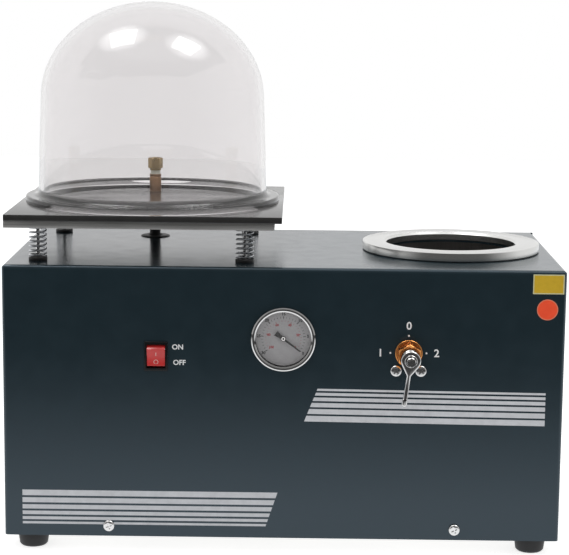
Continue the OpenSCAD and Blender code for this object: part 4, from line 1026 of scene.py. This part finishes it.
# A tube along a path. With a wall it is hollow and open at both ends.
def tubeAlong(path, radius, wall=0.0):
    curve = bpy.data.curves.new("passing_path", "CURVE")
    curve.dimensions = "3D"
    curve.bevel_depth = radius
    curve.bevel_resolution = 4
    curve.use_fill_caps = wall == 0
    spline = curve.splines.new("POLY")
    spline.points.add(len(path) - 1)
    for point, spot in zip(spline.points, path):
        point.co = (*spot, 1)
    holder = bpy.data.objects.new("passing_path", curve)
    bpy.context.scene.collection.objects.link(holder)
    mesh = bpy.data.meshes.new_from_object(holder.evaluated_get(bpy.context.evaluated_depsgraph_get()))
    bpy.data.objects.remove(holder)
    bpy.data.curves.remove(curve)
    bm = bmesh.new()
    bm.from_mesh(mesh)
    bpy.data.meshes.remove(mesh)
    bmesh.ops.remove_doubles(bm, verts=bm.verts, dist=0.001)
    bmesh.ops.recalc_face_normals(bm, faces=bm.faces)
    return changed(bm, "SOLIDIFY", thickness=wall, offset=-1, use_rim=True) if wall else bm


barbReach = 16


# The points of a hose that leaves a barb straight, and of one that arrives at a barb.
def offBarb(spot, way):
    return [Vector(spot) + Vector(way) * reach for reach in (0, barbReach + 1, barbReach + 7)]


def ontoBarb(spot, way):
    return offBarb(spot, way)[::-1]


hoseSettings = {
    "radius": 5.98, "wall": 1.7, "steps": 8, "anchor": 0.211, "travel": tableTravel,
    "table": [
        *offBarb((-145.5, 80, 332.1), (0, 0, -1)), (-145.5, 80, 277), (-132, 70, 258), (-100, 46, 248),
        (-50, 4, 246), (-5, -34, 245), (30, -70, 238), (56, -104, 222), *ontoBarb((104, -119.5, 211), (-1, 0, 0)),
    ],
    "chamber": [
        *offBarb((148, -119.5, 211), (1, 0, 0)), (184, -120, 205), (189, -121, 188), (189, -123, 168),
        (183, -122, 152), (178, -115, 144), *ontoBarb((176.8, -81, 142), (0, -1, 0)),
    ],
    "pump": [
        *offBarb((113, -87.5, 211), (-1, 0, 0)), (62, -76, 212), (30, -46, 208), (2, -8, 198), (-14, 7, 191),
        *ontoBarb((-51, 10, 190), (1, 0, 0)),
    ],
    "gauge": [
        *offBarb((-75, 10, 190), (-1, 0, 0)), (-114, 6, 192), (-123, -12, 197), (-112, -34, 206),
        (-82, -50, 216), (-46, -57, 223), (-16, -60, 225), *ontoBarb((0, -100.2, 224.5), (0, 1, 0)),
    ],
}


def makeHoses(s):
    path = smoothPath(s["table"], s["steps"])
    hose = tubeAlong(path, s["radius"], s["wall"])
    piece = settle(hose, "table_hose_tube", "black_rubber", casingPlace, replaced=["table_hose"])
    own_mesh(piece)
    whole = bmesh.new()
    for name in ("chamber", "pump", "gauge"):
        merge(whole, tubeAlong(smoothPath(s[name], s["steps"]), s["radius"], s["wall"]))
    settle(whole, "vacuum_hose_tubes", "black_rubber", casingPlace, replaced=["vacuum_hoses"])


makeHoses(hoseSettings)

cableSettings = {
    "radius": 2.95, "steps": 6,
    "routes": [
        [(-200, 117, 77), (-200, 102, 79), (-206, 88, 100), (-220, 76, 150), (-226, 56, 196), (-220, 10, 212),
         (-196, -42, 213), (-160, -70, 213), (-136, -82, 212), (-127.8, -95, 212), (-127.8, -109, 212)],
        [(-127.8, -109, 198), (-127.8, -98, 198), (-131, -88, 186), (-148, -82, 160), (-162, -78, 134),
         (-169, -72, 118), (-170, -64, 115), (-170, -58, 115)],
    ],
}


def makeCables(s):
    whole = bmesh.new()
    for route in s["routes"]:
        merge(whole, tubeAlong(smoothPath(route, s["steps"]), s["radius"]))
    settle(whole, "cables", "black_plastic", casingPlace, replaced=["wiring"])


makeCables(cableSettings)
print("hoses and cables made")

# ---- Bell jar ----

jarSettings = {
    "footR": 121.0, "domeR": 117.5, "innerFootR": 112.0, "footUp": 12.0, "flangeH": 7.0, "domeH": 100.0,
    "wall": 5.0, "wallRings": 12, "domeSteps": 40, "around": 192,
}


# Points of an ellipse from the dome's edge to the middle.
def domePoints(radius, height, base, steps):
    turns = [math.radians(90 * k / steps) for k in range(steps + 1)]
    return [(radius * math.cos(t) if k < steps else 0.0, base + height * math.sin(t)) for k, t in enumerate(turns)]


# Rings along a straight wall, close together at its ends so that the fillets don't bend its shading.
def wallPoints(start, end, rings):
    shares = [0.012, 0.035, *(k / rings for k in range(1, rings)), 0.965, 0.988]
    return [(start[0] + (end[0] - start[0]) * t, start[1] + (end[1] - start[1]) * t) for t in shares]


def makeJar(s):
    low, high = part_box("bell_jar")
    height = (high.z - low.z) * 1000
    flangeR = (high.x - low.x) * 500
    base = height - s["domeH"]
    outside = [
        (s["innerFootR"], 0), (flangeR - 2, 0), (flangeR - 1, 0), (flangeR - 0.3, 0.3), (flangeR, 1), (flangeR, s["flangeH"] - 2.0),
        (flangeR - 0.5, s["flangeH"] - 0.6), (flangeR - 1.8, s["flangeH"]), (flangeR - 2.6, s["flangeH"]),
        (s["footR"] + 5.8, s["flangeH"]), (s["footR"] + 5, s["flangeH"]),
        (s["footR"] + 2.0, s["flangeH"] + 0.9), (s["footR"] + 0.5, s["flangeH"] + 2.8), (s["footR"], s["footUp"]),
    ]
    outside += wallPoints((s["footR"], s["footUp"]), (s["domeR"], base), s["wallRings"])
    outside += domePoints(s["domeR"], s["domeH"], base, s["domeSteps"])
    inside = domePoints(s["domeR"] - s["wall"], s["domeH"] - s["wall"], base, s["domeSteps"])[::-1]
    inside += wallPoints((s["domeR"] - s["wall"], base), (s["footR"] - s["wall"], s["footUp"]), s["wallRings"])
    inside += [(s["footR"] - s["wall"], s["footUp"]), (s["innerFootR"] + 1.2, 5.0), (s["innerFootR"], 1.0)]
    bm = bmesh.new()
    verts = [bm.verts.new((radius, 0, up)) for radius, up in outside + inside]
    edges = [bm.edges.new(pair) for pair in zip(verts, verts[1:] + verts[:1]) if not (pair[0].co.x == 0 == pair[1].co.x)]
    bmesh.ops.spin(
        bm, geom=verts + edges, cent=(0, 0, 0), axis=(0, 0, 1), dvec=(0, 0, 0), angle=2 * math.pi,
        steps=s["around"], use_merge=True, use_normal_flip=False, use_duplicate=False,
    )
    place = footOf("bell_jar")
    bell = settle(
        bm, "glass_bell", "jar_glass", place, body="jar", replaced=["bell_jar"], smoothBelow=50
    )
    passLight(bell)


makeJar(jarSettings)
print("bell jar made")

# ---- Casting chamber ----

flangeSettings = {"openingR": 68.8, "chamfer": 2.5, "edge": 0.8}


def makeChamberRing(s):
    low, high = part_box("chamber_flange")
    radius, height = (high.x - low.x) * 500, (high.z - low.z) * 1000
    opening, chamfer, edge = s["openingR"], s["chamfer"], s["edge"]
    profile = [
        (opening, 0), (radius - 0.3, 0), (radius, 0.3), (radius, height - edge),
        (radius - edge * 0.3, height - edge * 0.3), (radius - edge, height),
        (opening + chamfer + 0.2, height), (opening + chamfer, height - 0.1),
        (opening + 0.2, height - chamfer + 0.1), (opening, height - chamfer),
    ]
    ring = turned(profile, steps=180, ring=True)
    settle(
        ring, "chamber_ring", "turned_ring", footOf("chamber_flange"),
        replaced=["chamber_flange"], smoothBelow=25,
    )


turnedFinish("turned_ring", (0.68, 0.68, 0.665), 0.24, middle("chamber_flange"), scale=700.0, bump=0.12, contrast=0.05)
makeChamberRing(flangeSettings)

# ---- Three-way valve ----

valveSettings = {
    "boreR": 6.1, "flangeH": 3.0, "flangeRound": 1.1, "flats": 22.0, "reach": 20.0, "chamfer": 1.4,
    "glandR": 8.5, "glandTo": 27.0, "neckR": 7.8, "tipR": 7.0, "tipTo": 37.0, "stemR": 3.06,
}


def makeValveFront(s):
    spot = middle("panel_nut")
    place = Vector((spot.x, frontY, spot.z))
    low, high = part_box("panel_nut")
    flangeR, crest, curve = (high.x - low.x) * 500, s["flangeH"], s["flangeRound"]
    profile = [
        (s["boreR"], 0), (flangeR, 0), *arcPoints((flangeR - curve, crest - curve), curve, 0, 90, 5),
        (s["flats"] / 2 - 0.2, crest),
        *hexSide(s["flats"], crest + 0.02, s["reach"], s["chamfer"]), (s["boreR"], s["reach"]),
    ]
    nut = hexRing(profile, s["flats"], turn=90, steps=96, above=crest + 0.01)
    settle(nut, "valve_panel_nut", "copper_plate", place, pointForwards, replaced=["panel_nut"])
    start, shoulder, tip = s["reach"] + 0.02, s["glandTo"], s["tipTo"]
    profile = [
        (s["boreR"], start), (s["glandR"], start), (s["glandR"], shoulder - 0.8), (s["glandR"] - 0.5, shoulder),
        (s["neckR"], shoulder + 0.2), (s["tipR"], tip - 0.8), (s["tipR"] - 0.8, tip), (s["stemR"], tip),
        (s["stemR"], tip - 1), (s["boreR"], tip - 1),
    ]
    gland = turned(profile, steps=72, ring=True)
    settle(gland, "valve_gland", "bright_steel", place, pointForwards, replaced=["gland_nut"])


makeValveFront(valveSettings)

leverSettings = {
    "from": 38.5, "thickness": 2.5, "headR": 10.0, "armR": 2.1, "waistAt": 15.0, "gripR": 2.6, "gripAt": 39.6,
    "length": 46.5, "lean": 7.5, "round": 1.6,
    "nutTurn": 12.0, "washerR": 6.2, "washerH": 1.0, "nutFlats": 9.0, "nutH": 4.5, "boreR": 3.02,
}


# A teardrop round the stem that narrows to an arm with a rounded tip, and the nut that holds it.
def makeLever(s):
    spot = middle("panel_nut")
    slope = math.degrees(math.asin((s["headR"] - s["armR"]) / s["waistAt"]))
    tipAt = -(s["length"] - s["gripR"])
    outline = arcPoints((0, 0), s["headR"], -slope, 180 + slope, 60)
    outline += [(-s["armR"], -s["waistAt"]), (-s["armR"], -s["gripAt"] + 1.4)]
    outline += arcPoints((0, -s["gripAt"]), s["gripR"], 147, 180, 3)
    outline += arcPoints((0, tipAt), s["gripR"], 180, 360, 20)
    outline += arcPoints((0, -s["gripAt"]), s["gripR"], 0, 33, 3)
    outline += [(s["armR"], -s["gripAt"] + 1.4), (s["armR"], -s["waistAt"])]
    bm = plate(outline, s["thickness"])
    bmesh.ops.remove_doubles(bm, verts=bm.verts, dist=0.01)
    crest = s["thickness"] - 0.01
    rim = [e for e in bm.edges if min(v.co.z for v in e.verts) > crest and e.calc_face_angle(0) > math.radians(70)]
    bmesh.ops.bevel(
        bm, geom=rim, offset=s["round"], offset_type="OFFSET", segments=6, profile=0.5, affect="EDGES",
        material=-1, clamp_overlap=False,
    )
    place = Vector((spot.x, frontY - s["from"] / 1000, spot.z))
    lean = pointForwards @ Matrix.Rotation(math.radians(-s["lean"]), 4, "Z")
    settle(bm, "lever_handle", "bright_steel", place, lean, "lever", ["valve_lever"], smoothBelow=40)
    low = s["thickness"]
    seat, top = low + s["washerH"], low + s["washerH"] + s["nutH"]
    profile = [
        (s["boreR"], low), (s["washerR"], low), (s["washerR"], seat - 0.3), (s["washerR"] - 0.3, seat),
        (s["nutFlats"] / 2 - 0.1, seat), *hexSide(s["nutFlats"], seat + 0.01, top, 1.2), (s["boreR"], top),
    ]
    nut = hexRing(profile, s["nutFlats"], s["nutTurn"], above=seat + 0.005)
    settle(nut, "lever_cap_nut", "bright_steel", place, pointForwards, "lever", ["lever_nut"])


makeLever(leverSettings)
print("chamber ring and valve made")

# ---- Vacuum gauge ----

gaugeSettings = {
    "rimR": 32.3, "seat": 1.2, "crest": 7.6, "lipR": 28.0, "lensR": 29.3, "lensOut": 5.6, "lensT": 1.8,
    "dialR": 28.0, "dialIn": 1.5, "dialT": 0.8, "spacerR": 26.0, "spacerT": 3.0, "spindleR": 1.26,
    "zeroAt": -37.0, "sweep": 254.0,
    "outerLast": 30, "outerStep": 5, "outerNumberR": 24.9, "outerCap": 2.8, "outerFrom": 20.4, "outerTo": 22.5,
    "innerLast": 100, "innerStep": 20, "innerNumberR": 15.0, "innerCap": 2.3, "innerFrom": 17.0, "innerTo": 18.2,
    "innerCone": 1.3, "outerCone": 1.3, "coneDrop": 0.7, "grooveIn": 1.6, "letterWeight": 0.2,
    "hubRing": (1.1, 1.9, 0.15),
    "outerMarks": (0.75, 0.42), "innerMarks": (0.6, 0.36),
    "needle": 21.0, "rootW": 1.1, "tipW": 0.6, "tail": 9.5, "tailW": 2.95, "hubR": 2.6, "needleOut": 1.2, "needleT": 0.8,
}


def gaugePlace(out=0.0):
    spot = middle("gauge_dial")
    return Vector((spot.x, frontY - out / 1000, spot.z))


# The bezel is pressed from sheet: an inner cone towards the window, a groove and an outer cone.
def makeBezel(s):
    inner, outer, crest, drop = s["lipR"], s["rimR"], s["crest"], s["coneDrop"]
    cone = [(inner, crest - 1.0), (inner + s["innerCone"], crest - 0.25)]
    deep = crest - s["grooveIn"]
    groove = [(inner + s["innerCone"] + 0.3, deep), (outer - s["outerCone"] - 0.3, deep)]
    rim = [(outer - s["outerCone"], crest), (outer - 0.1, crest - drop), (outer, crest - drop - 0.2)]
    seat = [(outer, s["seat"]), (s["lensR"] + 0.1, s["seat"]), (s["lensR"] + 0.1, s["lensOut"] + 0.05)]
    bm = turned([(inner, s["lensOut"] + 0.05), *cone, *groove, *rim, *seat], steps=144, ring=True)
    settle(
        bm, "bezel_ring", "bright_steel", gaugePlace(), pointForwards,
        replaced=["gauge_bezel"], smoothBelow=20,
    )


def makeLens(s):
    back, front = s["lensOut"] - s["lensT"], s["lensOut"]
    profile = [(0, back), (s["lensR"] - 0.2, back), (s["lensR"], back + 0.2), (s["lensR"], front - 0.2)]
    bm = turned([*profile, (s["lensR"] - 0.2, front), (0, front)], steps=96)
    window = settle(
        bm, "gauge_window", "lens_glass", gaugePlace(), pointForwards, replaced=["gauge_lens"]
    )
    passLight(window)


def dialAngle(s, share):
    return s["zeroAt"] + s["sweep"] * share


# Marks from one radius to another at even steps of the scale.
def addTicks(bm, s, count, inner, outer, width):
    for k in range(count + 1):
        aim = Matrix.Rotation(math.radians(dialAngle(s, k / count)), 4, "Z")
        size = Matrix.Diagonal((outer - inner, width, 0.05, 1))
        bmesh.ops.create_cube(bm, size=1, matrix=aim @ Matrix.Translation(((inner + outer) / 2, 0, 0.025)) @ size)


def addFigures(bm, s, last, step, radius, cap):
    for value in range(0, last + 1, step):
        angle = math.radians(dialAngle(s, value / last))
        addText(bm, str(value), cap, (radius * math.cos(angle), radius * math.sin(angle)), 0.05, s["letterWeight"])


def makeDial(s):
    face, back = -s["dialIn"], -s["dialIn"] - s["dialT"]
    profile = [(s["spindleR"], back), (s["spacerR"], back), (s["spacerR"], back - s["spacerT"])]
    profile += [(s["dialR"], back - s["spacerT"]), (s["dialR"], face - 0.2)]
    profile += [(s["dialR"] - 0.2, face), (s["spindleR"], face)]
    dial = turned(profile, steps=96, ring=True)
    settle(dial, "dial_face", "dial_paint", gaugePlace(), pointForwards, replaced=["gauge_dial"])
    printed = gaugePlace(face)
    black = bmesh.new()
    majors = s["outerLast"] // s["outerStep"]
    addTicks(black, s, majors, s["outerFrom"] - 0.4, s["outerTo"], s["outerMarks"][0])
    addTicks(black, s, majors * 5, s["outerFrom"], s["outerTo"] - 0.4, s["outerMarks"][1])
    addFigures(black, s, s["outerLast"], s["outerStep"], s["outerNumberR"], s["outerCap"])
    settle(black, "dial_outer_scale", "black_ink", printed, pointForwards)
    red = bmesh.new()
    majors = s["innerLast"] // s["innerStep"]
    addTicks(red, s, majors, s["innerFrom"] - 0.4, s["innerTo"], s["innerMarks"][0])
    addTicks(red, s, majors * 5, s["innerFrom"] + 0.2, s["innerTo"], s["innerMarks"][1])
    addFigures(red, s, s["innerLast"], s["innerStep"], s["innerNumberR"], s["innerCap"])
    settle(red, "dial_inner_scale", "red_ink", printed, pointForwards)


def makePointer(s):
    low = s["needleOut"]
    outline = [
        (s["needle"], -s["tipW"]), (s["needle"], s["tipW"]), (0, s["rootW"]),
        (-s["tail"], s["tailW"]), (-s["tail"], -s["tailW"]), (0, -s["rootW"]),
    ]
    bm = plate(outline, s["needleT"], low=low)
    top = low + s["needleT"]
    spindle = [(0, low - 11), (1.15, low - 11), (1.15, low), (s["hubR"], low), (s["hubR"], top - 0.1),
               (s["hubR"] - 0.3, top), (0, top)]
    merge(bm, turned(spindle, steps=48))
    turn = pointForwards @ Matrix.Rotation(math.radians(s["zeroAt"]), 4, "Z")
    settle(bm, "gauge_hand", "pointer_paint", gaugePlace(), turn, "needle", ["gauge_pointer"])
    boreR, ringR, ringH = s["hubRing"]
    seat = top - 0.05
    ring = turned([(boreR, seat), (ringR, seat), (ringR, seat + ringH), (boreR, seat + ringH)], steps=40, ring=True)
    settle(ring, "gauge_hub_ring", "bright_steel", gaugePlace(), turn, "needle")


makeBezel(gaugeSettings)
makeLens(gaugeSettings)
makeDial(gaugeSettings)
makePointer(gaugeSettings)
print("gauge made")

# ---- Rocker switch ----

switchSettings = {
    "rim": (23.6, 30.0), "rimT": 2.0, "body": (21.6, 26.8), "depth": 24.0, "wellD": 13.0, "well": (18.9, 24.0),
    "pinR": 1.56, "terminal": (6.2, 8.5, 0.8), "terminalDz": 7.0,
    "rockerW": 18.3, "pivotIn": 5.0, "tip": (7.8, 8.7), "dip": 6.6, "tilt": 10.0, "pin": (1.5, 19.8),
    "faceTo": 72.0, "edge": 0.3,
    "lineUp": 3.6, "ringUp": -4.7,
}


def switchPlace(out=0.0):
    spot = middle("switch_rocker")
    low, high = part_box("switch_housing")
    return Vector((spot.x, frontY - out / 1000, (low.z + high.z) / 2))


def makeSwitchHousing(s):
    housing = block((*s["body"], s["depth"] + 0.5), (0, 0, -s["depth"] / 2 + 0.25))
    rimBlock = block((*s["rim"], s["rimT"]), (0, 0, s["rimT"] / 2))
    roundEdges(rimBlock, 0.8, 3)
    merge(housing, rimBlock)
    well = block((*s["well"], s["wellD"] + 5), (0, 0, (5 - s["wellD"]) / 2))
    bm = carved(housing, well)
    socket = turned([(0, -10), (s["pinR"], -10), (s["pinR"], 10), (0, 10)], steps=32)
    socket.transform(Matrix.Translation((0, 0, -s["pivotIn"])) @ pointRight)
    bm = carved(bm, socket)
    for up in (-s["terminalDz"], 0, s["terminalDz"]):
        width, length, thick = s["terminal"]
        block((width, thick, length), (0, up, -s["depth"] + 0.5 - length / 2), bm)
    settle(
        bm, "switch_frame", "black_plastic", switchPlace(), pointForwards,
        replaced=["switch_housing"],
    )


# Two shallow faces that meet in the middle, with round ends about the pivot.
def makeRocker(s):
    tipOut, tipUp = s["tip"]
    radius = math.hypot(tipOut, tipUp)
    start = math.degrees(math.atan2(tipUp, tipOut))
    upper = [(s["dip"] + (tipOut - s["dip"]) * (k / 6) ** 1.5, tipUp * k / 6) for k in range(7)]
    upper += arcPoints((0, 0), radius, max(start + 3, s["faceTo"]), 86, 5)
    lower = [(x, -y) for x, y in upper[:0:-1]]
    outline = [*upper, (-3, radius - 1), (-3, 1 - radius), *lower]
    bm = plate(outline, s["rockerW"], low=-s["rockerW"] / 2)
    roundEdges(bm, s["edge"], 3, angle=35)
    bm.transform(Matrix.Rotation(math.radians(-90), 4, "Y"))
    pinR, pinLen = s["pin"]
    pin = turned([(0, -pinLen / 2), (pinR, -pinLen / 2), (pinR, pinLen / 2), (0, pinLen / 2)], steps=24)
    merge(bm, pin, pointRight)
    turn = pointForwards @ Matrix.Rotation(math.radians(s["tilt"]), 4, "X")
    place = switchPlace(-s["pivotIn"])
    settle(bm, "rocker_cap", "red_plastic", place, turn, "rocker", ["switch_rocker"], smoothBelow=30)
    # the marks for on and off lie on its two faces
    slope = math.atan2(tipOut - s["dip"], tipUp)
    marks = bmesh.new()
    for up in (s["lineUp"], s["ringUp"]):
        if up > 0:
            mark = block((0.75, 3.6, 0.06))
        else:
            mark = turned([(1.8, -0.03), (2.4, -0.03), (2.4, 0.03), (1.8, 0.03)], steps=32, ring=True)
        out = s["dip"] + (tipOut - s["dip"]) * (abs(up) / tipUp) ** 1.5 + 0.03
        lie = Matrix.Rotation(math.copysign(slope, up), 4, "X")
        merge(marks, mark, Matrix.Translation((0, up, out)) @ lie)
    settle(marks, "rocker_marks", "pale_mark", place, turn, "rocker")


makeSwitchHousing(switchSettings)
makeRocker(switchSettings)

# ---- Power inlet ----

inletSettings = {
    "rim": (40.0, 30.0), "rimT": 2.5, "body": (27.2, 20.2), "depth": 24.0, "well": (24.0, 16.5), "wellD": 16.0,
    "pins": ((-7, -2), (7, -2), (0, 2)), "pin": (2.0, 4.0, 13.0),
}


def makeInlet(s):
    low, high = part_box("power_inlet")
    place = ((low.x + high.x) / 2, high.y - s["rimT"] / 1000, (low.z + high.z) / 2)
    bm = block((*s["body"], s["depth"] + 0.5), (0, 0, -s["depth"] / 2 + 0.25))
    rim = block((*s["rim"], s["rimT"]), (0, 0, s["rimT"] / 2))
    roundEdges(rim, 1.0, 3)
    merge(bm, rim)
    well = block((*s["well"], s["wellD"] + 5), (0, 0, 2.5 - s["wellD"] / 2))
    bm = carved(bm, well)
    settle(bm, "inlet_socket", "black_plastic", place, pointBackwards, replaced=["power_inlet"])
    pins = bmesh.new()
    width, height, length = s["pin"]
    for x, up in s["pins"]:
        block((width, height, length), (-x, -up, -s["wellD"] + length / 2 - 1), pins)
    settle(pins, "inlet_pins", "bright_steel", place, pointBackwards)


makeInlet(inletSettings)
print("switch and inlet made")
